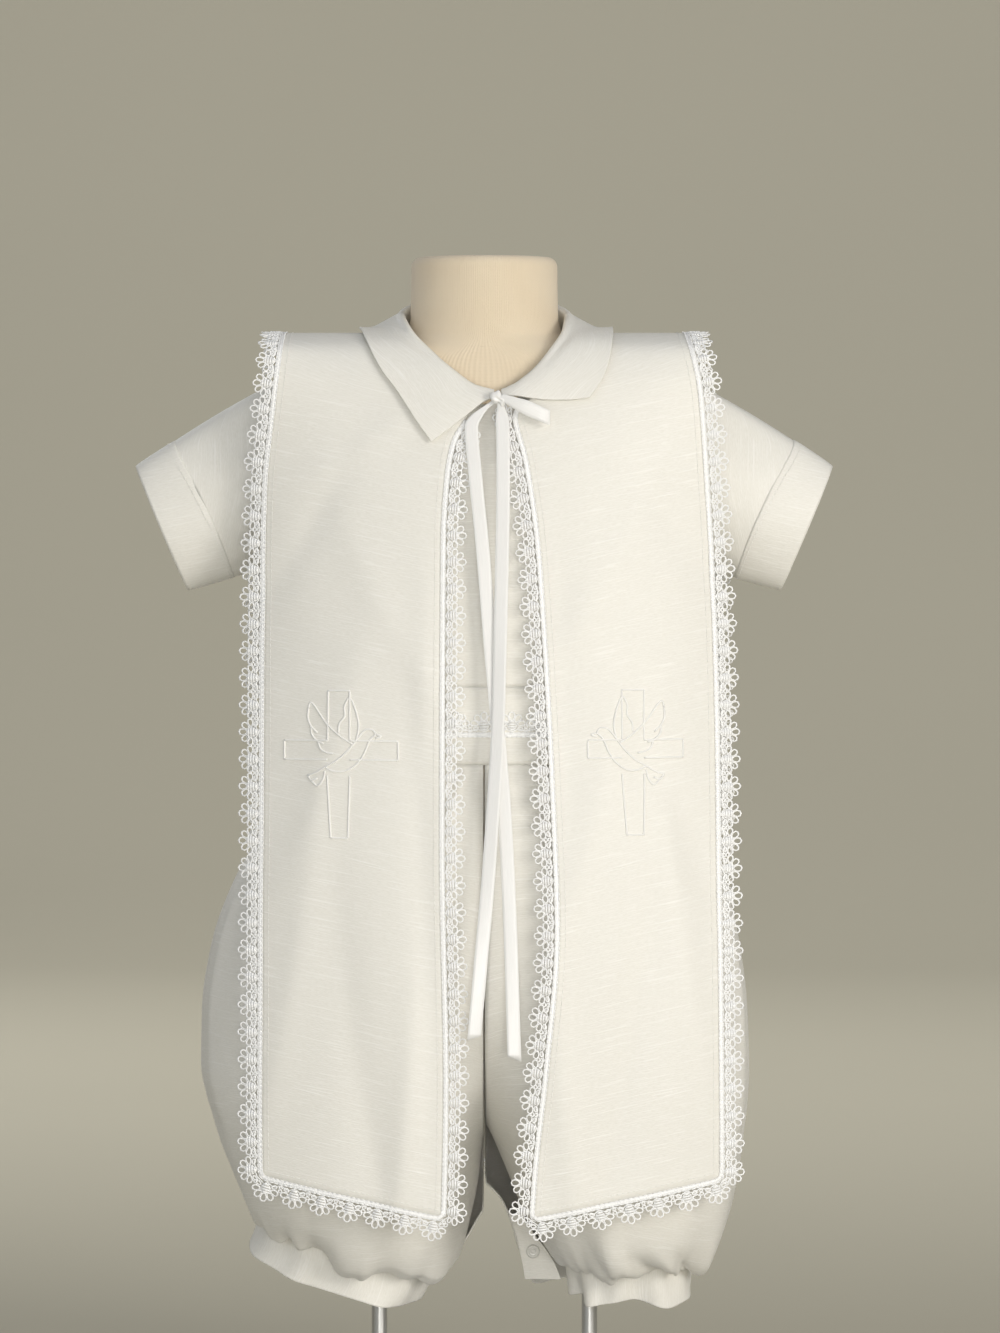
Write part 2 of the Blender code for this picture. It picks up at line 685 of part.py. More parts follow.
def leg_panel(side, front, columns=15):
    """Rows of points of one trouser panel, from the middle or inside leg to the side seam."""
    table = RIGHT_LEG if side == "right" else LEFT_LEG
    sign = -1 if side == "right" else 1
    lean_out, lean_back = LEG_LEAN[side]
    at = by_row(table)
    last = len(table) - 1
    rows = []
    for station in range(last + 1):
        height, outer, inner_front, inner_back, centre, front_depth, back_depth = at(station)
        inner = inner_front if front else inner_back
        depth = front_depth if front else back_depth
        reach = centre - inner
        power = 2 / LEG_SQUARENESS
        seam_angle = (SEAM / 2 / depth) ** (LEG_SQUARENESS / 2)
        cut = min(1.0, (centre - SEAM / 2) / reach) if centre > SEAM else 0.0
        start = math.acos(max(0.0, cut)) if inner < SEAM / 2 else seam_angle
        end = math.pi - seam_angle
        share = np.linspace(0, 1, columns)
        angle = start + (end - start) * share
        c, s = np.cos(angle), np.abs(np.sin(angle))
        x = np.where(c > 0, centre - reach * np.abs(c), centre + (outer - centre) * np.abs(c) ** power)
        x = np.maximum(x, SEAM / 2)
        y = depth * s ** power
        top_fade = max(0.0, 1 - station / GATHERS_OVER) * min(1.0, station)
        low_fade = np.clip((station - GATHERS_FROM) / GATHERS_OVER, 0, 1)
        if station == last:
            low_fade *= LAST_ROW_SHARE
        wave = np.sin(2 * math.pi * GATHER_WAVES * share)
        y = y * (1 + (WAIST_GATHERS * top_fade + END_GATHERS * low_fade) * wave)
        if station > GATHERS_FROM:
            x = centre + (x - centre) * (1 + END_SWAY * low_fade * wave)
        y = -y if front else y
        blend = np.clip((LEAN_HEIGHTS[0] - height) / LEAN_HEIGHTS[1], 0, 1) ** LEAN_POWER
        z = height + blend * (lean_out * (x - centre) + lean_back * y)
        rows.append(np.stack([sign * x, y, z], -1))
    return np.array(rows)


def make_trousers():
    """Front and back panels of both legs."""
    for side, sign in (("right", -1), ("left", 1)):
        for part, front in (("front", True), ("back", False)):
            grid = leg_panel(side, front)
            grid_cloth(f"leg_{part}_{side}", grid, away_from((sign * 62.0, 0.0, None)))


def make_cuffs():
    """The leg cuffs, sewn inside the legs' ends. The left one is open at its snap, inside the leg."""
    for side, (flare, shift) in CUFF_FLARE.items():
        closed = side == "right"
        front, back = leg_panel(side, True)[-1], leg_panel(side, False)[-1]
        path = np.concatenate([back[:-1], front[::-1][:-1] if closed else front[::-1]])
        middle = path.mean(0)
        outwards = (path - middle) * np.array([1, 1, 0])
        outwards /= np.linalg.norm(outwards, axis=1, keepdims=True)
        turn = np.linspace(0, 1, len(path))[:, None]
        rows = []
        for drop, inset in CUFF_ROWS:
            low = (max(0.0, drop) / CUFF_ROWS[-1][0]) ** 2
            fold = CUFF_FOLD_DEPTH * low * np.sin(2 * math.pi * CUFF_FOLDS * turn)
            offset = outwards * (flare * low - inset - CUFF_INSET + fold)
            rows.append(path + offset + np.array([shift * low, 0, -drop]))
        grid = np.array(rows)
        centre = away_from((middle[0], middle[1], None))
        grid_cloth(f"leg_cuff_{side}", grid, centre, ring=closed, thickness=BAND_WALL)


def neckline_point(side_sign, share):
    """A point of the bodice's neckline, from 0 at the middle front to 1 at the middle back."""
    if share < 0:
        side_sign, share = -side_sign, -share
    front = share <= 0.5
    table = FRONT_NECKLINE if front else BACK_NECKLINE
    along = share * 2 if front else (1 - share) * 2
    height, half = by_row(table)(along * (len(table) - 1))
    half_width, _, _, squareness = form_at(height)
    ease = float(ease_at(height)[0])
    angle = math.acos(min(1.0, float(half) / (half_width + ease)) ** (squareness / 2))
    point = body_point(np.array(float(height)), np.array(angle if front else -angle), 0.0)
    point[0] *= side_sign
    return point


def off_tabard(point, gap):
    """The point, moved out to stand at least this far off the tabard's outer face."""
    rows = np.linspace(7, 19, 500)
    surface = drape(np.full(500, point[0]), rows)
    nearest = int(np.argmin(np.linalg.norm(surface - point, axis=1)))
    k = min(max(nearest, 1), 498)
    along = surface[k + 1] - surface[k - 1]
    normal = np.array([0.0, -along[2], along[1]])
    normal /= np.linalg.norm(normal)
    distance = float((point - surface[nearest]) @ normal)
    return point + normal * max(0.0, gap - distance)


def collar_section(side_sign, share, fold, edge):
    """One section of the collar, from its foot on the neckline over the fold to its free edge."""
    up = np.array([0.0, 0.0, 1.0])
    outwards = np.array([fold[0] - 0.5, fold[1], 0.0])
    outwards /= np.linalg.norm(outwards)
    foot = neckline_point(side_sign, share) + COLLAR_FOOT[0] * up - COLLAR_FOOT[1] * outwards
    section = [foot]
    for out, down in COLLAR_ROLL:
        section.append(fold + out * outwards - down * up)
    start = section[-1]
    for t in (0.35, 0.7, 1.0):
        bow = up * COLLAR_BOW * t * (1 - t)
        section.append(off_tabard(start + (edge - start) * t + bow, COLLAR_LIFT))
    return section


def make_collar():
    """The collar: a stand up from the neckline, a rounded fold, and the fall that lies on the tabard."""
    columns = []
    for side_sign, table in ((-1, RIGHT_COLLAR), (1, LEFT_COLLAR)):
        at = by_row(table)
        stations = COLLAR_STATIONS if side_sign < 0 else COLLAR_STATIONS[-2::-1]
        for station in stations:
            share, x, y, z, edge_x, edge_row = at(station)
            edge = drape(np.array(edge_x), np.array(edge_row))
            columns.append(collar_section(side_sign, share, np.array([x, y, z]), edge))
    grid = np.array(columns).transpose(1, 0, 2)
    rows, count = grid.shape[:2]
    faces = grid_faces(rows, count)
    points = grid.reshape(-1, 3)
    fall = faces[-(count - 1):]
    if face_outwards(points, fall, lambda point: np.array([point[0], point[1], 60.0])) is not fall:
        faces = [face[::-1] for face in faces]
    add_wall(add_object("collar", points, faces, "shantung"), CLOTH)


def hem_height(side, x):
    """Height of the front hem of a tabard panel at a distance from the middle."""
    outer, inner = FRONT_HEM[side]
    table = RIGHT_OUTER_EDGE if side == "right" else LEFT_OUTER_EDGE
    inside = RIGHT_FRONT_EDGE if side == "right" else LEFT_FRONT_EDGE
    share = (np.abs(x) - inside[0][1]) / (table[0][1] - inside[0][1])
    return inner + (outer - inner) * share


def tabard_front(side, columns=7):
    """Rows of points of a front panel of the tabard, from the hem to the shoulder seam."""
    sign = -1 if side == "right" else 1
    outer_at = through(RIGHT_OUTER_EDGE if side == "right" else LEFT_OUTER_EDGE)
    inner_at = through(RIGHT_FRONT_EDGE if side == "right" else LEFT_FRONT_EDGE)
    low = float(front_row(FRONT_HEM[side][1]))
    lower = np.linspace(low, CHEST_ROW, 18)[:-1]
    upper = np.linspace(CHEST_ROW, SHOULDER_ROW - SHOULDER_SEAM, 10)
    stations = np.concatenate([lower, upper])
    rows = []
    for station in stations:
        height = profile_at(station)[1]
        x = np.linspace(float(inner_at(height)[0]), float(outer_at(height)[0]), columns)
        hem = front_row(hem_height(side, x))
        place = hem + (station - low) / (SHOULDER_ROW - low) * (SHOULDER_ROW - hem)
        rows.append(drape(sign * x, np.minimum(place, SHOULDER_ROW - SHOULDER_SEAM)))
    return np.array(rows)


def make_tabard():
    """The two front panels of the tabard and its back panel."""
    for side, sign in (("right", -1), ("left", 1)):
        grid_cloth(f"tabard_front_{side}", tabard_front(side), away_from((sign * 60.0, 40.0, 300.0)))

    neck_at = through(TABARD_BACK_NECK)
    end = float(back_row(BACK_HEM))
    upper = np.linspace(SHOULDER_ROW + SHOULDER_SEAM, BACK_CHEST_ROW, 9)
    lower = np.linspace(BACK_CHEST_ROW, end, 13)[1:]
    stations = np.concatenate([upper, lower])
    halves = []
    for sign, table in ((-1, RIGHT_OUTER_EDGE), (1, LEFT_OUTER_EDGE)):
        outer_at = through(table)
        rows = []
        for station in stations:
            height = float(profile_at(station)[1])
            inner = float(neck_at(height)[0]) if height > TABARD_BACK_NECK[0][0] else 0.0
            x = sign * np.linspace(inner, float(outer_at(height)[0]), 5)
            rows.append(drape(x, np.full(5, station)))
        halves.append(np.array(rows))
    rows, columns = halves[0].shape[:2]
    faces = grid_faces(rows, columns) + [
        face[::-1] for face in grid_faces(rows, columns, first=rows * columns)
    ]
    points = np.concatenate([half.reshape(-1, 3) for half in halves])
    cloth("tabard_back", points, faces, away_from((0.0, -60.0, 300.0)))


def lace_strip(name, edge, outwards_step, length, outwards):
    """A scalloped strip along an edge, whose function gives the place on the tabard by share."""
    count = max(2, round(length / SCALLOP))
    shares = np.linspace(0, 1, 2 * count + 1)
    reach = np.where(np.arange(2 * count + 1) % 2 == 1, LACE_PEAK, LACE_VALLEY)
    inner, outer = [], []
    for share, out in zip(shares, reach):
        x, station = edge(share)
        inner.append(lifted(*outwards_step(x, station, -LACE_HEADING)))
        outer.append(lifted(*outwards_step(x, station, out)))
    grid_cloth(name, np.array([inner, outer]), outwards, slot="lace", thickness=LACE, grow=1.0)


def lifted(x, station):
    """A point just off the tabard's outer face."""
    here = drape(np.array(x), np.array(station))
    along = drape(np.array(x), np.array(station + 0.01)) - here
    across = drape(np.array(x + 0.1), np.array(station)) - here
    normal = np.cross(along, across)
    normal /= np.linalg.norm(normal)
    if np.dot(normal, [0.0, -1.0 if station < SHOULDER_ROW else 1.0, 0.4]) < 0:
        normal = -normal
    return here + LACE_LIFT * normal


def stations_between(start, end):
    """Stations at even steps of length along the tabard's side view, by share."""
    stations = np.linspace(start, end, 400)
    points = profile_at(stations)
    length = np.concatenate([[0], np.cumsum(np.linalg.norm(np.diff(points, axis=0), axis=1))])
    return (lambda share: float(np.interp(share * length[-1], length, stations))), float(length[-1])


def make_lace():
    """Lace along the outer edges over the shoulders, the front edges and the hems."""
    for side, sign in (("right", -1), ("left", 1)):
        outer_at = through(RIGHT_OUTER_EDGE if side == "right" else LEFT_OUTER_EDGE)
        inner_at = through(RIGHT_FRONT_EDGE if side == "right" else LEFT_FRONT_EDGE)

        hem = FRONT_HEM[side]
        at, length = stations_between(
            float(front_row(hem[0] - LACE_PEAK)), float(back_row(BACK_HEM - LACE_PEAK))
        )
        lace_strip(
            f"lace_outer_{side}",
            lambda share: (sign * float(outer_at(profile_at(at(share))[1])[0]), at(share)),
            lambda x, station, out: (x + sign * out, station),
            length,
            away_from((0.0, 0.0, 200.0)),
        )
        at, length = stations_between(
            float(front_row(hem[1] - LACE_PEAK)), float(front_row(TOP_LACE_END[side]))
        )
        lace_strip(
            f"lace_front_{side}",
            lambda share: (sign * float(inner_at(profile_at(at(share))[1])[0]), at(share)),
            lambda x, station, out: (x - sign * out, station),
            length,
            away_from((0.0, 40.0, 300.0)),
        )
        first = inner_at(hem[1])[0] + LACE_HEADING + SEAM
        last = outer_at(hem[0])[0] - LACE_HEADING - SEAM
        lace_strip(
            f"lace_hem_{side}",
            lambda share: (sign * (first + (last - first) * share), 0.0),
            lambda x, _, out: (x, float(front_row(hem_height(side, x) - out))),
            last - first,
            away_from((0.0, 40.0, 300.0)),
        )
    left_end = float(through(RIGHT_OUTER_EDGE)(BACK_HEM)[0]) - LACE_HEADING - SEAM
    right_end = float(through(LEFT_OUTER_EDGE)(BACK_HEM)[0]) - LACE_HEADING - SEAM
    lace_strip(
        "lace_hem_back",
        lambda share: (-left_end + (left_end + right_end) * share, 0.0),
        lambda x, _, out: (x, float(back_row(BACK_HEM - out))),
        left_end + right_end,
        away_from((0.0, -60.0, 300.0)),
    )


def make_ribbons():
    """The ribbon that ties the tabard: two tails, a knot and a loop."""
    for side, table in (("right", RIGHT_TAIL), ("left", LEFT_TAIL)):
        middle_at = through(table)
        heights = np.linspace(table[-1][0], table[0][0], 15)
        x = middle_at(heights)[:, 0]
        y = drape(x, front_row(heights))[:, 1] - TAIL_STAND_OFF[side]
        grid = np.array([
            np.column_stack([x - RIBBON_WIDTH / 2, y, heights]),
            np.column_stack([x + RIBBON_WIDTH / 2, y, heights]),
        ])
        grid_cloth(f"ribbon_tail_{side}", grid, forwards, slot="ribbon", thickness=RIBBON)

    bpy.ops.mesh.primitive_uv_sphere_add(segments=12, ring_count=8, radius=1.0, location=(0, 0, 0))
    knot = bpy.context.object
    knot.name = "ribbon_knot"
    knot_place = Matrix.Translation([v * MM for v in KNOT_PLACE])
    knot.data.transform(knot_place @ Matrix.Diagonal([*(r * MM for r in KNOT_RADII), 1.0]))
    knot.data.shade_smooth()
    knot.data.materials.clear()
    knot.data.materials.append(material("ribbon"))

    start, along, across = np.array(LOOP_START), np.array(LOOP_ALONG), np.array(LOOP_ACROSS)
    middle_line = [start + along * a + np.array([0.0, d, 0.0]) for a, d in RIBBON_LOOP]
    rows = []
    for half in (-RIBBON_WIDTH / 2, RIBBON_WIDTH / 2):
        rows.append([point + across * half for point in middle_line])
    loop_centre = start + along * 12 + np.array([0.0, -1.2, 0.0])
    grid_cloth("ribbon_loop", np.array(rows), away_from(loop_centre), slot="ribbon", thickness=RIBBON)


def make_snap():
    """The flap inside the left leg's open inseam, and the snap on it."""
    rows = []
    for height, start, end in SNAP_FLAP:
        rows.append([(start + (end - start) * k / 3, SNAP_FLAP_DEPTH, height) for k in range(4)])
    grid_cloth("snap_flap_left", np.array(rows), forwards)

    turn = np.linspace(0, 2 * math.pi, 16, endpoint=False)
    x, z = SNAP_PLACE
    rings = []
    for radius, proud in SNAP_RINGS:
        depth = np.full(16, SNAP_FLAP_DEPTH - proud)
        rings.append(np.stack([x + radius * np.cos(turn), depth, z + radius * np.sin(turn)], -1))
    closed_loft("leg_snap", rings, "snap")


make_form()
make_bodice()
make_waistband()
make_sleeves()
make_trousers()
make_cuffs()
make_collar()
make_tabard()
make_lace()
make_ribbons()
make_snap()
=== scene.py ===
import math

import bpy
import numpy as np
from mathutils import Matrix, Vector


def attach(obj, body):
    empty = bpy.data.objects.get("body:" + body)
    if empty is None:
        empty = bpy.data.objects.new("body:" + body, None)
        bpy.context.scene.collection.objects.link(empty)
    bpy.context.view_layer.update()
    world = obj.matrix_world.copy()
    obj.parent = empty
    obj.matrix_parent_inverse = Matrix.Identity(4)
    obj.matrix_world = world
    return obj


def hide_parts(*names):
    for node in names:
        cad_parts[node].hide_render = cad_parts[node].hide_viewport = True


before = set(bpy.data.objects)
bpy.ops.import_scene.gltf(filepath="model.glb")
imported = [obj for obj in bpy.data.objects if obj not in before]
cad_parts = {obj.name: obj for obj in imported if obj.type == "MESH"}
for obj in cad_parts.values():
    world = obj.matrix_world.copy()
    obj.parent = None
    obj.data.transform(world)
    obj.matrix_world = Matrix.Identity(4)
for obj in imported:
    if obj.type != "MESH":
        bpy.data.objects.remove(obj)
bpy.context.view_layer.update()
mm = 0.001
bpy.ops.object.select_all(action="DESELECT")
print("frame loaded:", len(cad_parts), "nodes")

# camera: straight on at chest height, with a long lens
view = {"middle": (8, -75, 388.5), "height": 667, "distance": 3000, "elevation": 1.5}
tilt = math.radians(view["elevation"])
lookAt = Vector(view["middle"]) * mm
awayFromIt = Vector((0, -math.cos(tilt), math.sin(tilt)))
bpy.ops.object.camera_add(location=lookAt + awayFromIt * view["distance"] * mm)
camera = bpy.context.object
camera.name = "photoCamera"
camera.rotation_euler = (math.radians(90) - tilt, 0, 0)
camera.data.sensor_width = 36
camera.data.lens = 36 * view["distance"] / view["height"]
camera.data.clip_end = 50
bpy.context.scene.camera = camera

# soft studio light: a large key from the right, a weaker fill from the left
bpy.context.scene.view_settings.view_transform = "Standard"
lamps = {
    # name: (place, aim, size, watts, colour)
    "keyLight": ((1.6, -1.9, 0.8), (0, 0, 0.22), 1.0, 26, (1.0, 0.955, 0.89)),
    "fillLight": ((-1.9, -1.9, 0.7), (0, 0, 0.22), 1.5, 5.9, (0.92, 0.96, 1.0)),
    "frontLight": ((0.0, -3.0, 0.40), (0, 0, 0.25), 0.8, 12.7, (1.0, 0.98, 0.94)),
    "lowLight": ((0.25, -1.9, 0.06), (0, 0, 0.06), 0.8, 9.5, (1.0, 0.98, 0.94)),
    "topLight": ((0.1, -0.3, 2.3), (0, 0, 0.3), 1.2, 3, (1.0, 1.0, 1.0)),
    "backLight": ((-1.3, 2.4, 1.4), (0, 0, 0.3), 1.2, 9, (1.0, 1.0, 1.0)),
    "backdropLight": ((0.0, 1.3, 2.9), (0, 4.6, 1.1), 2.4, 74, (1.0, 1.0, 1.0)),
}
for lampName, (place, aim, size, watts, colour) in lamps.items():
    bpy.ops.object.light_add(type="AREA", location=place)
    lamp = bpy.context.object
    lamp.name = lampName
    lamp.data.size = size
    lamp.data.energy = watts
    lamp.data.color = colour
    lamp.visible_camera = False
    lamp.rotation_euler = (Vector(aim) - Vector(place)).to_track_quat("-Z", "Y").to_euler()
world = bpy.data.worlds.new("studioAir")
world.use_nodes = True
world.node_tree.nodes["Background"].inputs["Color"].default_value = (0.93, 0.96, 1.0, 1)
world.node_tree.nodes["Background"].inputs["Strength"].default_value = 0.31
bpy.context.scene.world = world


# shader helpers

def addNode(tree, kind, settings=None, inputs=None):
    made = tree.nodes.new("ShaderNode" + kind)
    for key, value in (settings or {}).items():
        setattr(made, key, value)
    for key, value in (inputs or {}).items():
        if isinstance(value, bpy.types.NodeSocket):
            tree.links.new(value, made.inputs[key])
        else:
            made.inputs[key].default_value = value
    return made


def mathNode(tree, operation, *values):
    return addNode(tree, "Math", {"operation": operation}, dict(enumerate(values))).outputs[0]


def noiseNode(tree, vector, scale, detail):
    noise = addNode(tree, "TexNoise", inputs={"Vector": vector, "Scale": scale, "Detail": detail})
    return noise.outputs["Fac"]


def stretchedNoise(tree, vector, scale, detail):
    placed = addNode(tree, "Mapping", inputs={"Vector": vector, "Scale": scale})
    return noiseNode(tree, placed.outputs["Vector"], 1.0, detail)


def rangeNode(tree, value, fromRange=(0.0, 1.0), toRange=(0.0, 1.0)):
    return addNode(tree, "MapRange", inputs={
        "Value": value,
        "From Min": fromRange[0],
        "From Max": fromRange[1],
        "To Min": toRange[0],
        "To Max": toRange[1],
    }).outputs["Result"]


def addRamp(tree, factor, stops):
    ramp = addNode(tree, "ValToRGB", inputs={"Fac": factor})
    while len(ramp.color_ramp.elements) < len(stops):
        ramp.color_ramp.elements.new(0.5)
    for element, (place, colour) in zip(ramp.color_ramp.elements, stops):
        element.position = place
        element.color = (*colour, 1)
    return ramp.outputs["Color"]


def weaveNode(tree):
    # the cloth's threads, in metres
    return addNode(tree, "UVMap", {"uv_map": "weave"}).outputs["UV"]


def placeNode(tree):
    return addNode(tree, "TexCoord").outputs["Object"]


def newGroup(name, inputs, outputs):
    group = bpy.data.node_groups.new(name, "ShaderNodeTree")
    for socketName, kind, value in inputs:
        socket = group.interface.new_socket(socketName, in_out="INPUT", socket_type="NodeSocket" + kind)
        if value is not None:
            socket.default_value = value
    for socketName in outputs:
        group.interface.new_socket(socketName, in_out="OUTPUT", socket_type="NodeSocketFloat")
    return group, group.nodes.new("NodeGroupInput").outputs, group.nodes.new("NodeGroupOutput").inputs


def newMaterial(name, roughness, **constants):
    made = bpy.data.materials.new(name)
    made.use_nodes = True
    shader = made.node_tree.nodes["Principled BSDF"]
    shader.inputs["Roughness"].default_value = roughness
    for key, value in constants.items():
        shader.inputs[key.replace("_", " ")].default_value = value
    return made, made.node_tree, shader


def finishShader(tree, shader, colour, height=None, bump=(0.5, 0.0002), roughness=None):
    # the bump is a strength and a distance
    tree.links.new(colour, shader.inputs["Base Color"])
    if height is not None:
        relief = addNode(tree, "Bump", inputs={"Height": height, "Strength": bump[0], "Distance": bump[1]})
        tree.links.new(relief.outputs["Normal"], shader.inputs["Normal"])
    if roughness is not None:
        tree.links.new(roughness, shader.inputs["Roughness"])


# materials

def makeSlubWeave():
    # uneven threads along U, as in dupioni silk; the vector is in metres
    group, given, result = newGroup(
        "slubWeave",
        [("Vector", "Vector", None), ("Slub", "Float", 1.0)],
        ["Tone", "Height"],
    )
    layers = {
        # name: (threads along and across per metre, detail, from and to)
        "thickSlub": ((34, 900, 1), 1.0, (0.60, 0.74)),
        "thinSlub": ((95, 1700, 1), 1.0, (0.54, 0.75)),
        "threads": ((420, 2600, 1), 2.0, (0.30, 0.70)),
    }
    masks = {}
    for layer, (scale, detail, reach) in layers.items():
        masks[layer] = rangeNode(group, stretchedNoise(group, given["Vector"], scale, detail), reach)
    slubs = mathNode(group, "MULTIPLY_ADD", masks["thinSlub"], 0.55, masks["thickSlub"])
    uneven = mathNode(group, "MULTIPLY", slubs, noiseNode(group, given["Vector"], 22.0, 2.0))
    scaled = mathNode(group, "MULTIPLY", uneven, given["Slub"])
    relief = mathNode(group, "MULTIPLY_ADD", masks["threads"], 0.3, scaled)
    group.links.new(relief, result["Tone"])
    group.links.new(relief, result["Height"])
    return group


def makeThreadTwist():
    # the fine slanting plies of a spun thread; U runs along the thread, V round it
    group, given, result = newGroup(
        "threadTwist",
        [("Vector", "Vector", None), ("Twists", "Float", 700.0)],
        ["Height"],
    )
    parts = addNode(group, "SeparateXYZ", inputs={"Vector": given["Vector"]})
    turns = mathNode(group, "MULTIPLY", parts.outputs["X"], given["Twists"])
    slant = mathNode(group, "ADD", turns, parts.outputs["Y"])
    group.links.new(mathNode(group, "PINGPONG", slant, 0.5), result["Height"])
    return group


slubWeave = makeSlubWeave()
threadTwist = makeThreadTwist()


def shantungMaterial(name, dark, middle, light, roughness=0.44):
    made, tree, shader = newMaterial(
        name, roughness, Sheen_Weight=0.12, Sheen_Roughness=0.4, Anisotropic=0.35,
    )
    threads = addNode(tree, "Group", {"node_tree": slubWeave}, {"Vector": weaveNode(tree), "Slub": 1.0})
    tone, height = threads.outputs["Tone"], threads.outputs["Height"]
    colour = addRamp(tree, tone, [(0.0, dark), (0.28, middle), (0.95, light)])
    shine = rangeNode(tree, tone, toRange=(roughness + 0.05, roughness - 0.12))
    finishShader(tree, shader, colour, height, (0.55, 0.00022), shine)
    return made


def threadMaterial(name, colour, roughness, twists, strength, paintedGlow=0.0):
    # painted light: a faint emission brightens the thread, standing in for the light that fine white cotton
    # scatters inside itself
    made, tree, shader = newMaterial(
        name, roughness, Sheen_Weight=0.2, Sheen_Roughness=0.5, Emission_Strength=paintedGlow,
    )
    twist = addNode(tree, "Group", {"node_tree": threadTwist}, {"Vector": weaveNode(tree), "Twists": twists})
    height = twist.outputs["Height"]
    # the ramp paints the grooves between the plies darker than their ridges: painted shade
    pale = tuple(min(1.0, c * 1.03) for c in colour)
    deep = tuple(c * 0.91 for c in colour)
    finishShader(tree, shader, addRamp(tree, height, [(0.0, deep), (0.35, pale)]), height, (strength, 0.0002))
    return made


def ribbonMaterial():
    made, tree, shader = newMaterial("whiteSatinRibbon", 0.3, Sheen_Weight=0.1, Anisotropic=0.55)
    weave = weaveNode(tree)
    parts = addNode(tree, "SeparateXYZ", inputs={"Vector": weave})
    # a woven selvedge along each side: V is the distance from the middle in metres
    selvedge = rangeNode(tree, mathNode(tree, "ABSOLUTE", parts.outputs["Y"]), (0.0026, 0.0029))
    threads = stretchedNoise(tree, weave, (120, 5200, 1), 1.0)
    colour = addRamp(tree, threads, [(0.2, (0.86, 0.855, 0.84)), (0.8, (0.93, 0.925, 0.91))])
    height = mathNode(tree, "MULTIPLY_ADD", threads, 0.35, selvedge)
    finishShader(tree, shader, colour, height, (0.4, 0.0002), rangeNode(tree, selvedge, toRange=(0.27, 0.5)))
    return made


def jerseyMaterial():
    made, tree, shader = newMaterial("creamJersey", 0.85, Sheen_Weight=0.25, Sheen_Roughness=0.6)
    weave = weaveNode(tree)
    ribs = {"Vector": weave, "Scale": 330.0, "Distortion": 0.6, "Detail": 1.0}
    stitches = {"Vector": weave, "Scale": 420.0, "Distortion": 1.5}
    across = addNode(tree, "TexWave", {"bands_direction": "X"}, ribs).outputs["Fac"]
    along = addNode(tree, "TexWave", {"bands_direction": "Y"}, stitches).outputs["Fac"]
    height = mathNode(tree, "MULTIPLY_ADD", along, 0.5, across)
    cloud = noiseNode(tree, weave, 30.0, 3.0)
    colour = addRamp(tree, cloud, [(0.25, (0.80, 0.67, 0.49)), (0.75, (0.84, 0.72, 0.54))])
    finishShader(tree, shader, colour, height, (0.5, 0.0003))
    return made


def metalMaterial():
    made, tree, shader = newMaterial("brushedSteel", 0.32, Metallic=1.0)
    grain = stretchedNoise(tree, placeNode(tree), (900, 900, 12), 2.0)
    colour = addRamp(tree, grain, [(0.2, (0.56, 0.56, 0.555)), (0.8, (0.68, 0.68, 0.67))])
    finishShader(tree, shader, colour, grain, (0.12, 0.0002), rangeNode(tree, grain, toRange=(0.24, 0.42)))
    return made


def cloudyMaterial(name, roughness, scale, stops, **constants):
    made, tree, shader = newMaterial(name, roughness, **constants)
    finishShader(tree, shader, addRamp(tree, noiseNode(tree, placeNode(tree), scale, 2.0), stops))
    return made


silk = shantungMaterial("ivoryShantung", (0.82, 0.80, 0.735), (0.88, 0.862, 0.805), (0.94, 0.925, 0.88))
# the lace thread is given a faint painted glow, which brightens it as painted light
laceThread = threadMaterial("whiteLaceThread", (0.965, 0.965, 0.955), 0.5, 900.0, 0.35, paintedGlow=0.07)
satinCord = threadMaterial("satinStitchCord", (0.94, 0.93, 0.90), 0.34, 1500.0, 0.6)
sewingThread = threadMaterial("sewingThread", (0.92, 0.91, 0.87), 0.5, 1500.0, 0.4)
tanThread = threadMaterial("tanThread", (0.66, 0.55, 0.39), 0.6, 1500.0, 0.4)
satin = ribbonMaterial()
jersey = jerseyMaterial()
steel = metalMaterial()
pearlStops = [(0.3, (0.70, 0.69, 0.64)), (0.7, (0.80, 0.79, 0.75))]
snapPlastic = cloudyMaterial("pearlSnap", 0.3, 600.0, pearlStops, Coat_Weight=0.3)
print("materials made")

# the floor runs up into a plain backdrop in one soft curve
backdrop = {
    "halfWidth": 5.0, "front": -4.5, "back": 5.2, "top": 4.8, "bend": 2.2, "segments": 40,
    "tones": [(0.2, (0.46075, 0.43165, 0.34435)), (0.8, (0.475, 0.445, 0.355))],
}
bpy.ops.mesh.primitive_plane_add(size=1, location=(0, 0, 0))
floor = bpy.context.object
floor.name = "studioFloor"
for corner in floor.data.vertices:
    corner.co.x = backdrop["halfWidth"] * (1 if corner.co.x > 0 else -1)
    corner.co.y = backdrop["back"] if corner.co.y > 0 else backdrop["front"]
bpy.ops.object.mode_set(mode="EDIT")
bpy.ops.mesh.select_all(action="DESELECT")
bpy.ops.object.mode_set(mode="OBJECT")
for edge in floor.data.edges:
    ends = [floor.data.vertices[k].co.y for k in edge.vertices]
    edge.select = min(ends) > 1.0
bpy.ops.object.mode_set(mode="EDIT")
bpy.ops.mesh.select_mode(type="EDGE")
bpy.ops.mesh.extrude_region_move(TRANSFORM_OT_translate={"value": (0, 0, backdrop["top"])})
bpy.ops.object.mode_set(mode="OBJECT")
for edge in floor.data.edges:
    ends = [floor.data.vertices[k].co for k in edge.vertices]
    edge.select = all(abs(p.z) < 0.01 and p.y > 1.0 for p in ends)
bpy.ops.object.mode_set(mode="EDIT")
bpy.ops.mesh.bevel(offset=backdrop["bend"], segments=backdrop["segments"])
bpy.ops.object.mode_set(mode="OBJECT")
bpy.ops.object.shade_smooth()
plainBackdrop = cloudyMaterial("plainBackdrop", 0.9, 1.3, backdrop["tones"], Specular_IOR_Level=0.1)
floor.data.materials.append(plainBackdrop)
print("studio made")

# the garment's shapes, in millimetres: X across, -Y the front, Z up

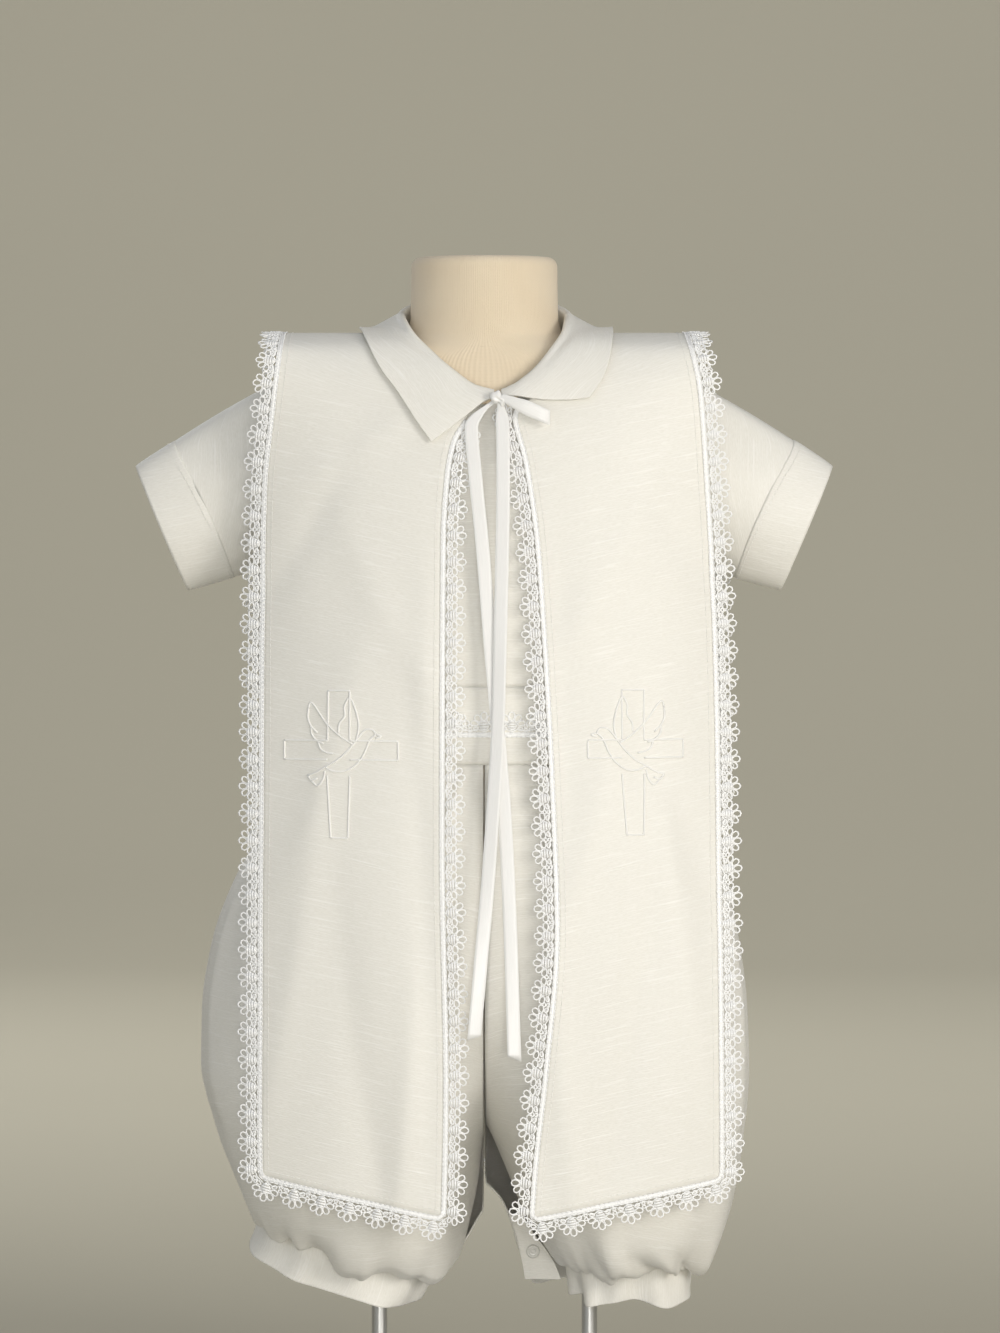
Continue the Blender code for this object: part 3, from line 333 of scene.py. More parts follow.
formSections = (
    # height, half width, front depth, back depth, squareness
    (188, 62, 42, 42, 2.3),
    (192, 70, 49, 49, 2.3),
    (202, 77, 56, 56, 2.3),
    (225, 82, 61, 60, 2.3),
    (280, 84, 65, 61, 2.3),
    (340, 83, 65, 57, 2.3),
    (400, 83, 63, 55, 2.3),
    (450, 85, 59, 55, 2.3),
    (490, 87, 54, 54, 2.3),
    (515, 87, 48, 51, 2.3),
    (530, 85, 44.5, 48, 2.3),
    (538, 80, 42, 45.5, 2.3),
    (544, 71, 40, 43, 2.3),
    (549, 57, 38.5, 41, 2.2),
    (553, 45, 37.5, 39.5, 2.1),
    (557, 40, 37, 38.5, 2.0),
    (566, 37.8, 36.5, 38, 2.0),
    (596, 37.3, 36.5, 38, 2.0),
)
bodyEase = (
    # height, stand-off from the form, rise
    (330, 5.5, 0),
    (378, 5.5, 0),
    (400, 5.0, 0),
    (450, 3.5, 0),
    (500, 2.6, 0),
    (520, 2.3, 0.6),
    (540, 2.2, 2.4),
    (560, 2.0, 2.8),
)
bodice = {
    "foot": 377.85, "armholeDepth": 2.0, "armholeHeight": 494.0, "armholeReach": (30.0, 51.0), "seam": 0.7,
}
# the necklines as height and distance from the middle
frontNeckline = (
    (520, 0), (521.5, 14), (527, 24), (535.5, 33), (543.5, 38.5), (549, 41.3), (553.5, 43.2), (556, 44),
)
backNeckline = ((546, 0), (547.5, 18), (550, 31), (553, 38.5), (556, 44))

tabardSide = (
    # depth, height, from the front hem over the shoulder to the back hem
    (-92, 86), (-92.5, 120), (-92.5, 160), (-91.5, 220), (-87.5, 280), (-80.5, 340), (-74, 400),
    (-68.5, 450), (-62.5, 490), (-56.5, 517), (-48.5, 537.5), (-35, 551), (-16, 556.5), (2, 557.5),
    (18, 556.5), (38, 552), (53, 540), (61.5, 517), (67, 490), (70.5, 450), (72, 400), (75.5, 340),
    (82, 280), (87.5, 220), (90, 160), (90, 120), (89, 86),
)
tabardSetback = (
    # height, how far the outer edge lies back
    (80, 18), (160, 18.5), (280, 24), (400, 27), (450, 25), (490, 20), (517, 13), (538, 5), (551, 0),
    (560, 0),
)
tabard = {
    "setbackAt": 110.0, "setbackPower": 2.4, "shoulderRow": 13, "shoulderTop": 557.4, "backHem": 124.0,
    "crease": 1.6, "ripple": 0.22, "calm": (45, 120),  # how far from the shoulder the cloth lies flat
    "frontHem": {"right": (132.5, 113.5), "left": (131, 113)},
    "laceTop": {"right": 512.0, "left": 519.0},
}
outerEdges = {
    "right": ((80, 111.5), (420, 111.5), (480, 110), (510, 107), (540, 103.5), (557.5, 101.5)),
    "left": ((80, 119), (250, 118), (350, 117), (430, 115), (480, 112), (527, 108.5), (557.5, 102)),
}
frontEdges = {
    "right": (
        (80, 21.5), (180, 19.5), (300, 21.5), (450, 21), (484, 19), (502, 15.5), (515, 8.5),
        (519, 13), (527, 26), (535, 36), (543, 43), (551, 47), (557.5, 49),
    ),
    "left": (
        (80, 22), (141, 26.5), (187, 31.5), (257, 37), (335, 34.5), (400, 31), (450, 27.5), (492, 21.5),
        (515, 16), (520, 20), (527, 28), (535, 37), (543, 43), (551, 47), (557.5, 49),
    ),
}
tabardBackNeck = ((540, 0), (542.5, 20), (548, 34), (553, 43), (557.5, 49))
sideSign = {"right": -1, "left": 1}  # right is the wearer's own, so it is on the viewer's left


def unit(vectors):
    return vectors / np.linalg.norm(vectors, axis=-1, keepdims=True)


def runAlong(path):
    # the distance from the start of a path to each of its points
    return np.concatenate([[0], np.cumsum(np.linalg.norm(np.diff(path, axis=0), axis=1))])


def pointsAt(distance, run, path):
    return np.stack([np.interp(distance, run, path[:, k]) for k in range(path.shape[1])], -1)


def curveThrough(rows):
    # smooth curves through a table that never overshoot: the first column gives the others
    table = np.array(sorted(map(tuple, rows)), float)
    x, y = table[:, 0], table[:, 1:]
    step = np.diff(x)[:, None]
    slope = np.diff(y, axis=0) / step
    tangent = np.zeros_like(y)
    before, after = slope[:-1], slope[1:]
    sameWay = before * after > 0
    total = np.where(sameWay, before + after, 1.0)
    tangent[1:-1] = np.where(sameWay, 2 * before * after / total, 0.0)
    tangent[0], tangent[-1] = slope[0], slope[-1]

    def at(value):
        value = np.clip(np.asarray(value, float), x[0], x[-1])
        k = np.clip(np.searchsorted(x, value) - 1, 0, len(x) - 2)
        s = ((value - x[k]) / (x[k + 1] - x[k]))[..., None]
        start = y[k] * (1 + 2 * s) * (1 - s) ** 2 + tangent[k] * step[k] * s * (1 - s) ** 2
        end = y[k + 1] * s * s * (3 - 2 * s) + tangent[k + 1] * step[k] * s * s * (s - 1)
        return start + end

    return at


def curveByRow(rows):
    return curveThrough([(k, *row) for k, row in enumerate(rows)])


formAt = curveThrough(formSections)
easeAt = curveThrough(bodyEase)
setbackAt = curveThrough(tabardSetback)
sideAt = curveByRow(tabardSide)
outerAt = {side: curveThrough(rows) for side, rows in outerEdges.items()}
innerAt = {side: curveThrough(rows) for side, rows in frontEdges.items()}

# length along the tabard's side view, from the front hem's end of the table
sideRows = np.linspace(0, len(tabardSide) - 1, 5201)
sideLine = sideAt(sideRows)
sideLength = runAlong(sideLine)
shoulderLength = float(np.interp(tabard["shoulderRow"], sideRows, sideLength))
frontHalf = sideRows <= tabard["shoulderRow"]
backHalf = sideRows >= tabard["shoulderRow"]


def frontLength(height):
    return np.interp(height, sideLine[frontHalf, 1], sideLength[frontHalf])


def backLength(height):
    return np.interp(height, sideLine[backHalf, 1][::-1], sideLength[backHalf][::-1])


def heightAt(length):
    return np.interp(length, sideLength, sideLine[:, 1])


def smoothSteps(values, low, high):
    s = np.clip((values - low) / (high - low), 0, 1)
    return s * s * (3 - 2 * s)


def softFolds(across, along, folds):
    # each fold is a soft ridge, or a trough where its depth is below 0, that fades out at its ends
    lift = np.zeros(np.broadcast(across, along).shape)
    for x, y, turn, length, width, bend, depth in folds:
        c, s = math.cos(math.radians(turn)), math.sin(math.radians(turn))
        run = (across - x) * c + (along - y) * s
        off = -(across - x) * s + (along - y) * c - bend * (run / length) ** 2
        lift = lift + depth * np.exp(-np.abs(off / width) ** 1.7) * np.exp(-np.abs(run / length) ** 3)
    return lift


# the tabard's main creases: across, along from the table's front end, turn, half length, half width,
# bend, depth
tabardFolds = {
    "frontRight": (
        (-40, 60, 84, 90, 9, 4, 1.3), (-62, 95, 100, 100, 12, -5, -1.0), (-95, 150, 80, 110, 10, 3, 0.9),
        (-30, 190, 93, 110, 8, 3, -0.7), (-78, 250, 72, 80, 11, 6, 0.7), (-50, 330, 118, 70, 10, -6, 0.6),
        (-88, 372, 60, 55, 9, 5, -0.7), (-60, 415, 35, 38, 8, 4, 0.6), (-30, 300, 88, 60, 7, 2, 0.5),
    ),
    "frontLeft": (
        (42, 62, 96, 90, 9, -4, 1.3), (70, 90, 80, 110, 12, 5, -1.0), (100, 160, 98, 110, 10, -3, 1.0),
        (52, 215, 75, 95, 9, 5, 0.9), (84, 262, 108, 80, 11, -6, -0.8), (60, 345, 60, 70, 10, 6, 0.7),
        (92, 380, 118, 55, 9, -5, -0.7), (62, 420, 145, 38, 8, -4, 0.6), (40, 300, 92, 70, 7, -2, -0.5),
    ),
    "back": (
        (-60, 900, 88, 110, 12, 5, 1.2), (-20, 860, 96, 130, 11, -4, -1.0), (34, 905, 84, 110, 12, 4, 1.1),
        (78, 850, 100, 120, 12, -5, -0.9), (-88, 780, 75, 90, 10, 5, 0.8), (8, 730, 92, 90, 12, 3, 0.8),
        (64, 690, 112, 70, 10, -6, -0.7), (-44, 660, 62, 60, 10, 6, 0.7), (20, 610, 20, 45, 8, 4, 0.6),
    ),
}


def tabardLift(x, length):
    # how far the cloth stands off its plain drape; the shoulders lie flat
    calm = smoothSteps(np.abs(length - shoulderLength), *tabard["calm"])
    lift = softFolds(x, length, tabardFolds["frontRight"]) * (x < 0) * (length < shoulderLength)
    lift = lift + softFolds(x, length, tabardFolds["frontLeft"]) * (x >= 0) * (length < shoulderLength)
    lift = lift + softFolds(x, length, tabardFolds["back"]) * (length >= shoulderLength)
    ripple = tabard["ripple"] * np.sin(x / 9.5 + 1.3 * np.sin(length / 61)) * np.sin(length / 37 + x / 41)
    return (tabard["crease"] * lift + ripple) * calm


def drapePoint(x, length):
    # a point of the tabard's plain drape, from the distance across and the length along its side view
    x, length = np.broadcast_arrays(np.asarray(x, float), np.asarray(length, float))
    y, z = np.moveaxis(pointsAt(length, sideLength, sideLine), -1, 0)
    setback = setbackAt(z)[..., 0] * (np.abs(x) / tabard["setbackAt"]) ** tabard["setbackPower"]
    return np.stack([x, np.where(length < shoulderLength, y + setback, y - setback), z], -1)


def onTabard(x, length, out=0.0):
    # a point at some distance off the tabard's creased outer face
    here = drapePoint(x, length)
    down = drapePoint(x, np.asarray(length) - 1.0)
    up = drapePoint(x, np.asarray(length) + 1.0)
    aside = drapePoint(np.asarray(x) + 1.0, length) - drapePoint(np.asarray(x) - 1.0, length)
    lift = tabardLift(here[..., 0], np.broadcast_to(length, here.shape[:-1])) + out
    return here + unit(np.cross(aside, up - down)) * lift[..., None]


def roundSection(halfWidth, front, back, squareness, angle):
    # across and depth on a rounded section; angle 0 is +X, a quarter turn is the front
    c, s = np.cos(angle), np.sin(angle)
    x = halfWidth * np.sign(c) * np.abs(c) ** (2 / squareness)
    return x, np.where(s > 0, -front, back) * np.abs(s) ** (2 / squareness)


def bodyPoint(height, angle, extra=0.0):
    # a point of the bodice's outer face
    height, angle = np.broadcast_arrays(np.asarray(height, float), np.asarray(angle, float))
    halfWidth, front, back, squareness = np.moveaxis(formAt(height), -1, 0)
    ease, rise = np.moveaxis(easeAt(height), -1, 0)
    ease = ease + extra
    x, y = roundSection(halfWidth + ease, front + ease, back + ease, squareness, angle)
    return np.stack([x, y, height + rise], -1)


# making pieces

def gridNormals(grid, ring):
    along = np.gradient(grid, axis=0)
    across = (np.roll(grid, -1, 1) - np.roll(grid, 1, 1)) / 2 if ring else np.gradient(grid, axis=1)
    normal = np.cross(across, along)
    return normal / np.maximum(np.linalg.norm(normal, axis=-1, keepdims=True), 1e-9)


def creased(grid, lift, outward, ring=False):
    # the grid moved along its normals, which are turned to face outwards
    normal = gridNormals(grid, ring)
    facing = np.sum(normal * outward(grid))
    return grid + (normal if facing > 0 else -normal) * lift[..., None]


def awayFrom(x, y, z=None):
    held = np.array([x, y, 0.0 if z is None else z])
    keep = np.array([1.0, 1.0, 0.0 if z is None else 1.0])
    return lambda points: (points - held) * keep


def towards(x, y, z):
    return lambda points: np.broadcast_to(np.array([x, y, z], float), points.shape)


def weaveOf(grid, turn=False):
    # the cloth's own threads in metres: U along the weft, V along the warp
    steps = np.linalg.norm(np.diff(grid, axis=1), axis=-1)
    u = np.concatenate([np.zeros((grid.shape[0], 1)), np.cumsum(steps, axis=1)], 1)
    u = u - u[:, grid.shape[1] // 2][:, None]
    steps = np.linalg.norm(np.diff(grid, axis=0), axis=-1)
    v = np.concatenate([np.zeros((1, grid.shape[1])), np.cumsum(steps, axis=0)], 0)
    weave = np.stack([u, v], -1) * mm
    return weave[..., ::-1] if turn else weave


def buildMesh(name, points, faces, loopWeave, material):
    mesh = bpy.data.meshes.new(name)
    mesh.from_pydata((np.asarray(points) * mm).tolist(), [], [list(map(int, f)) for f in faces])
    layer = mesh.uv_layers.new(name="weave")
    layer.data.foreach_set("uv", np.asarray(loopWeave, np.float32).ravel())
    mesh.polygons.foreach_set("use_smooth", [True] * len(mesh.polygons))
    mesh.materials.append(material)
    made = bpy.data.objects.new(name, mesh)
    bpy.context.scene.collection.objects.link(made)
    return made


def openEdit(piece):
    bpy.ops.object.select_all(action="DESELECT")
    piece.select_set(True)
    bpy.context.view_layer.objects.active = piece
    bpy.ops.object.mode_set(mode="EDIT")
    bpy.ops.mesh.select_all(action="SELECT")


def closeEdit():
    # all faces are turned to look outwards
    bpy.ops.mesh.select_all(action="SELECT")
    bpy.ops.mesh.normals_make_consistent(inside=False)
    bpy.ops.object.mode_set(mode="OBJECT")


def weldPiece(piece, reach=0.00001):
    openEdit(piece)
    bpy.ops.mesh.remove_doubles(threshold=reach)
    bpy.ops.object.mode_set(mode="OBJECT")
    piece.select_set(False)


def roundEdges(piece, width, segments, angle):
    soft = piece.modifiers.new("softEdge", "BEVEL")
    soft.width = width * mm
    soft.segments = segments
    soft.limit_method = "ANGLE"
    soft.angle_limit = math.radians(angle)


def gridFaces(rows, columns):
    number = np.arange(rows * columns).reshape(rows, columns)
    return np.stack([number[:-1, :-1], number[:-1, 1:], number[1:, 1:], number[1:, :-1]], -1).reshape(-1, 4)


def facedOut(points, faces, outward):
    # the faces, turned over if they mostly look inwards
    start, aside, up = (points[faces[:, k]] for k in (0, 1, 3))
    facing = np.sum(np.cross(aside - start, up - start) * outward(points[faces].mean(1)))
    return faces[:, ::-1] if facing < 0 else faces


def clothPiece(name, grid, outward, wall=0.8, ring=False, weave=None, turnWeave=False, leaveOut=None):
    # an open sheet of outer points with its threads as UVs, and a live wall
    if ring:
        grid = np.concatenate([grid, grid[:, :1]], 1)
    if weave is None:
        weave = weaveOf(grid, turnWeave)
    faces = gridFaces(*grid.shape[:2])
    if leaveOut is not None:
        faces = faces[~leaveOut.ravel()]
    points = grid.reshape(-1, 3)
    faces = facedOut(points, faces, outward)
    made = buildMesh(name, points, faces, weave.reshape(-1, 2)[faces.ravel()], silk)
    if ring:
        weldPiece(made)
    shell = made.modifiers.new("wall", "SOLIDIFY")
    shell.thickness = wall * mm
    shell.offset = -1
    return made


def turnedPiece(name, profile, sides, foot, upright, smooth):
    # a round piece built up from rows of radius and height, standing up or facing the front
    axis = Vector((0, 0, 1)) if upright else Vector((0, -1, 0))
    start = Vector(foot) * mm + axis * profile[0][1] * mm
    bpy.ops.mesh.primitive_circle_add(
        vertices=sides,
        radius=profile[0][0] * mm,
        location=start,
        rotation=(0 if upright else math.radians(90), 0, 0),
        fill_type="NGON",
    )
    made = bpy.context.object
    made.name = name
    bpy.ops.object.transform_apply(location=True, rotation=True, scale=False)
    bpy.ops.object.mode_set(mode="EDIT")
    bpy.ops.mesh.select_all(action="SELECT")
    for (radius, height), (nextRadius, nextHeight) in zip(profile, profile[1:]):
        bpy.ops.mesh.extrude_region_move(
            TRANSFORM_OT_translate={"value": tuple(axis * (nextHeight - height) * mm)},
        )
        if nextRadius != radius:
            ratio = nextRadius / radius
            bpy.ops.transform.resize(
                value=(ratio, ratio, 1) if upright else (ratio, 1, ratio),
                center_override=start,
            )
    closeEdit()
    bpy.ops.object.shade_smooth_by_angle(angle=math.radians(smooth))
    return made


def tubePoints(path, radius, sides=6, flat=1.0, up=None, closed=False):
    # rings of points round a path, flattened towards its up side
    path = np.asarray(path, float)
    if closed:
        tangent = unit(np.roll(path, -1, 0) - np.roll(path, 1, 0))
    else:
        tangent = unit(np.gradient(path, axis=0))
    up = np.broadcast_to(np.array([0.0, 0.0, 1.0]) if up is None else up, path.shape)
    side = unit(np.cross(tangent, up))
    top = np.cross(side, tangent)
    angle = np.linspace(0, 2 * math.pi, sides, endpoint=False) + math.pi / sides
    return path[:, None] + radius * (
        np.cos(angle)[None, :, None] * side[:, None] + flat * np.sin(angle)[None, :, None] * top[:, None]
    )


def tubeParts(rings, closed=False):
    # points, faces and loop UVs of a tube; U runs along it in metres and V goes round it once
    count, sides = rings.shape[:2]
    points = rings.reshape(-1, 3)
    run = runAlong(rings.mean(1)) * mm
    faces, weave = [], []
    last = count if closed else count - 1
    for r in range(last):
        following = (r + 1) % count
        here, there = run[r], run[r + 1] if r + 1 < count else run[r] + run[1]
        for c in range(sides):
            d = (c + 1) % sides
            faces.append((r * sides + c, r * sides + d, following * sides + d, following * sides + c))
            low, high = c / sides, (c + 1) / sides
            weave.extend([(here, low), (here, high), (there, high), (there, low)])
    if not closed:
        faces.append(tuple(range(sides))[::-1])
        weave.extend([(0.0, 0.0)] * sides)
        faces.append(tuple(range((count - 1) * sides, count * sides)))
        weave.extend([(run[-1], 0.0)] * sides)
    return points, faces, weave


def mergeParts(parts):
    points, faces, weave, first = [], [], [], 0
    for partPoints, partFaces, partWeave in parts:
        points.append(partPoints)
        faces.extend([tuple(v + first for v in face) for face in partFaces])
        weave.extend(partWeave)
        first += len(partPoints)
    return np.concatenate(points), faces, weave


def joinParts(name, parts, material):
    return buildMesh(name, *mergeParts(parts), material)


def settle(piece, slotName, *nodes):
    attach(piece, "root")
    if nodes:
        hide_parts(*nodes)
    return piece


def areaOf(piece):
    return sum(face.area for face in piece.data.polygons)


def asSheet(piece, flat):
    print(f"  {piece.name}: {areaOf(piece):.4f} m2 of cloth, cut from {flat[0]:.3f} x {flat[1]:.3f} m")


# tabard panels

panelMaking = {"columns": 46, "backHalf": 45, "rows": 150, "wall": 0.8, "seamGap": 0.3}


def frontPanelGrid(side):
    sign = sideSign[side]
    outerHem, innerHem = tabard["frontHem"][side]
    low = float(frontLength(innerHem))
    end = shoulderLength - panelMaking["seamGap"]
    share = np.linspace(0, 1, panelMaking["rows"])
    across = np.linspace(0, 1, panelMaking["columns"])
    grid = []
    for s in share:
        length = low + (end - low) * s
        height = heightAt(length)
        inner, outer = float(innerAt[side](height)[0]), float(outerAt[side](height)[0])
        x = inner + across * (outer - inner)
        hem = frontLength(innerHem + (outerHem - innerHem) * across)
        grid.append(onTabard(sign * x, hem + (length - low) / (end - low) * (end - hem)))
    return np.array(grid)


for side in ("right", "left"):
    panel = clothPiece(f"tabardFront_{side}", frontPanelGrid(side), towards(0, -1, 0.2), panelMaking["wall"])
    settle(panel, "shantung", f"tabard_front_{side}")
    asSheet(panel, (0.115, 0.50))


def backPanelRow(length):
    # across the back at one length, and whether the neck is open there
    height = heightAt(length)
    parted = height > tabardBackNeck[0][0]
    inner = float(curveThrough(tabardBackNeck)(height)[0]) if parted else 0.0
    right, left = (
        np.linspace(inner, float(outerAt[side](height)[0]), panelMaking["backHalf"])
        for side in ("right", "left")
    )
    return np.concatenate([-right[::-1], left]), inner > 0


backEnds = (shoulderLength + panelMaking["seamGap"], float(backLength(tabard["backHem"])))
backLengths = np.linspace(*backEnds, panelMaking["rows"])
backAcross, neckOpen = zip(*[backPanelRow(length) for length in backLengths])
backAlong = np.broadcast_to(backLengths[:, None], np.shape(backAcross))
backMiddle = onTabard(np.array(backAcross), backAlong)
backWeave = np.stack([backMiddle[..., 0], backAlong], -1) * mm
# both halves are one panel, joined at the middle below the neck
neckOpen = np.array(neckOpen)
neckHole = np.zeros((backMiddle.shape[0] - 1, backMiddle.shape[1] - 1), bool)
neckHole[:, panelMaking["backHalf"] - 1] = neckOpen[:-1] | neckOpen[1:]
backPanel = clothPiece(
    "tabardBack", backMiddle, towards(0, 1, 0.2), panelMaking["wall"], weave=backWeave, leaveOut=neckHole,
)
weldPiece(backPanel)
settle(backPanel, "shantung", "tabard_back")
asSheet(backPanel, (0.235, 0.46))
print("tabard panels made")


# lace: one scallop is modelled flat and set along the edges

scallop = {
    "pitch": 13.7, "corner": 3.0, "thread": 0.48, "flat": 0.7, "sides": 4, "lift": 0.35,
    "disc": (5.3, 2.4, 0.7, 4),  # distance out from the cloth's edge, radius, strand, strands
    "rim": (12, 0.3),  # steps and radius of the cord round the disc
    "satin": (0.8, 0.05, 0.3),  # share of the disc that strands cover, their height at the ends and middle
    "loops": (
        # turn from straight out, distance from the disc's middle, length, width
        (0, 4.6, 4.3, 3.1), (41, 4.6, 4.1, 2.9), (-41, 4.6, 4.1, 2.9),
        (78, 4.8, 3.9, 2.6), (-78, 4.8, 3.9, 2.6), (112, 4.4, 2.6, 1.7), (-112, 4.4, 2.6, 1.7),
    ),
    "valley": ((5.0, 1.9, 1.5), (3.3, 1.7, 1.2)),  # distance out, length, width
    "wave": (2.2, 1.45, 0.38),  # the wavy cord's distance out, how far it swings, and its radius
    "heading": ((-0.5, 0.33), (1.7, 0.27)),  # distance out and radius of each cord
    "dash": (1.9, 0.55),  # length and gap of the heading's stitches
    "net": (0.2, 1.45, 0.17, 0.05),  # a zigzag thread: from, to, radius, height
    "tape": (-0.5, 1.8, -0.16, 0.12),  # a close strip under it: from, to, height, half thickness
    "steps": 20,
}


def loopPath(middle, turn, length, width, steps=9):
    angle = np.linspace(0, 2 * math.pi, steps, endpoint=False)
    along = np.cos(angle) * length / 2
    across = np.sin(angle) * width / 2 * (1 + 0.22 * np.cos(angle))
    c, s = math.cos(math.radians(turn)), math.sin(math.radians(turn))
    return np.stack([
        middle[0] + along * s + across * c,
        middle[1] + along * c - across * s,
        0.12 * np.cos(2 * angle),
    ], -1)


def closedCord(path, radius):
    return tubeParts(tubePoints(path, radius, scallop["sides"], scallop["flat"], closed=True), closed=True)


def fanShape():
    # a satin-stitched disc with a fan of loops round it
    parts = []
    out, radius, strand, strands = scallop["disc"]
    for turn, distance, length, width in scallop["loops"]:
        middle = (distance * math.sin(math.radians(turn)), out + distance * math.cos(math.radians(turn)))
        parts.append(closedCord(loopPath(middle, turn, length, width), scallop["thread"]))
    cover, low, high = scallop["satin"]
    for place in np.linspace(-cover, cover, strands) * radius:
        half = math.sqrt(radius ** 2 - place ** 2)
        line = np.array([[-half, out + place, low], [0, out + place, high], [half, out + place, low]])
        parts.append(tubeParts(tubePoints(line, strand, scallop["sides"], scallop["flat"])))
    steps, thread = scallop["rim"]
    parts.append(closedCord(loopPath((0, out), 0, 2 * radius, 2 * radius, steps), thread))
    return mergeParts(parts)


def valleyShape():
    parts = []
    for out, length, width in scallop["valley"]:
        parts.append(closedCord(loopPath((0, out), 90, length, width, 8), scallop["thread"] * 0.9))
    return mergeParts(parts)


def edgeCords(length, centres, place):
    # the cords that follow the cloth's edge: the heading, its net, and the wavy cord under the fans
    along = np.linspace(0, length, len(centres) * scallop["steps"] + 1)
    pitch = length / len(centres)
    known = np.concatenate([[centres[0] - pitch], centres, [centres[-1] + pitch]])
    phase = np.interp(along, known, np.arange(len(known)))
    rest, swing, radius = scallop["wave"]
    low, high, thread, height = scallop["net"]
    flat = []
    cords = (
        # every how many steps, distance out, height, radius
        (2, rest + swing * np.sin(2 * math.pi * phase) ** 2, 0.0, radius),
        (1, np.where(np.arange(len(along)) % 2, high, low), height, thread),
    )
    for skip, out, up, thick in cords:
        line = np.stack([along, out, np.full(len(along), up)], -1)[::skip]
        flat.append(tubeParts(tubePoints(line, thick, scallop["sides"], 0.8)))
    low, high, height, half = scallop["tape"]
    corners = [(low, height - half), (high, height - half), (high, height + half), (low, height + half)]
    flat.append(tubeParts(np.array([[(a, *corner) for corner in corners] for a in along[::4]])))
    dash, gap = scallop["dash"]
    for out, thick in scallop["heading"]:
        for begin in np.arange(0, length - dash, dash + gap):
            line = np.array([[begin, out, 0.0], [begin + dash / 2, out, 0.12], [begin + dash, out, 0.0]])
            flat.append(tubeParts(tubePoints(line, thick, scallop["sides"], 0.8)))
    points, faces, weave = mergeParts(flat)
    return [(place(points[:, 0], points[:, 1], points[:, 2]), faces, weave)]


def laceParts(length, centres, place):
    # every fan keeps its own shape, also at a corner
    laid = edgeCords(length, centres, place)
    for (points, faces, weave), middles in ((fan, centres), (valley, (centres[1:] + centres[:-1]) / 2)):
        for middle in middles:
            laid.append((place(middle, points[:, 1], points[:, 2], points[:, 0]), faces, weave))
    return laid


def smoothRoute(corners, step=0.5, blur=2.2):
    # an even route through flat points, its corners a little rounded, with its outward side
    corners = np.array(corners, float)
    run = runAlong(corners)
    line = pointsAt(np.linspace(0, run[-1], int(run[-1] / step) + 1), run, corners)
    reach = int(4 * blur / step)
    weights = np.exp(-0.5 * (np.arange(-reach, reach + 1) * step / blur) ** 2)
    weights /= weights.sum()
    padded = np.concatenate([
        2 * line[0] - line[reach:0:-1], line, 2 * line[-1] - line[-2:-reach - 2:-1],
    ])
    line = np.stack([np.convolve(padded[:, k], weights, mode="valid") for k in (0, 1)], -1)
    return runAlong(line), line, unit(np.gradient(line, axis=0))


def edgeRoute(side):
    # flat points round a front panel: front edge, hem, outer edge, over the shoulder and down the back
    sign = sideSign[side]
    outerHem, innerHem = tabard["frontHem"][side]
    inner, outer = float(innerAt[side](innerHem)[0]), float(outerAt[side](outerHem)[0])
    edgeSteps, hemSteps, backSteps = 120, 20, 40
    front = np.linspace(tabard["laceTop"][side], innerHem, edgeSteps)
    hem = np.linspace(0, 1, hemSteps)[1:]
    up = np.linspace(outerHem, tabard["shoulderTop"], edgeSteps)[1:]
    down = np.linspace(tabard["shoulderTop"], tabard["backHem"], edgeSteps)
    stretches = (
        (innerAt[side](front)[:, 0], frontLength(front)),
        (inner + (outer - inner) * hem, frontLength(innerHem + (outerHem - innerHem) * hem)),
        (outerAt[side](up)[:, 0], frontLength(up)),
        (outerAt[side](down)[:, 0], backLength(down)),
    )
    route = np.concatenate([np.stack([sign * x, length], -1) for x, length in stretches])
    corners = [route[edgeSteps - 1], route[edgeSteps + hemSteps - 2]]
    if side == "left":
        corners.append(route[-1])
        across = np.linspace(route[-1][0], -float(outerAt["right"](tabard["backHem"])[0]), backSteps)[1:]
        backHem = np.stack([across, np.full(len(across), float(backLength(tabard["backHem"])))], -1)
        route = np.concatenate([route, backHem])
    return route, corners


def tabardPlacer(side):
    # how to set points along a panel's edge, the edge's length, and the middles of its scallops
    route, corners = edgeRoute(side)
    run, line, tangent = smoothRoute(route)
    turn = -1 if side == "right" else 1  # the cloth lies to the other side of the route on each panel

    def place(along, out, up, shift=0.0):
        # the shift goes straight on past a bend of the edge
        x, length = np.moveaxis(pointsAt(along, run, line), -1, 0)
        tx, tl = np.moveaxis(unit(pointsAt(along, run, tangent)), -1, 0)
        across = x + shift * tx + out * turn * tl
        return onTabard(across, length + shift * tl - out * turn * tx, scallop["lift"] + up)

    # two scallops crowd together at each corner, and the ends have half a gap
    stops = [run[np.argmin(np.linalg.norm(line - np.array(corner), axis=1))] for corner in corners]
    centres = []
    for k, (begin, end) in enumerate(zip([0.0, *stops], [*stops, run[-1]])):
        begin += scallop["pitch"] / 2 if k == 0 else scallop["corner"]
        end -= scallop["pitch"] / 2 if k == len(stops) else scallop["corner"]
        centres.extend(np.linspace(begin, end, round((end - begin) / scallop["pitch"]) + 1))
    return place, float(run[-1]), np.array(centres)


fan, valley = fanShape(), valleyShape()
for side in ("right", "left"):
    place, routeLength, centres = tabardPlacer(side)
    lace = joinParts(f"tabardLace_{side}", laceParts(routeLength, centres, place), laceThread)
    nodes = [f"lace_front_{side}", f"lace_hem_{side}", f"lace_outer_{side}"]
    settle(lace, "lace", *nodes, *(["lace_hem_back"] if side == "left" else []))
    print(f"  {lace.name}: {len(centres)} scallops, {len(lace.data.polygons)} faces")


# bodice

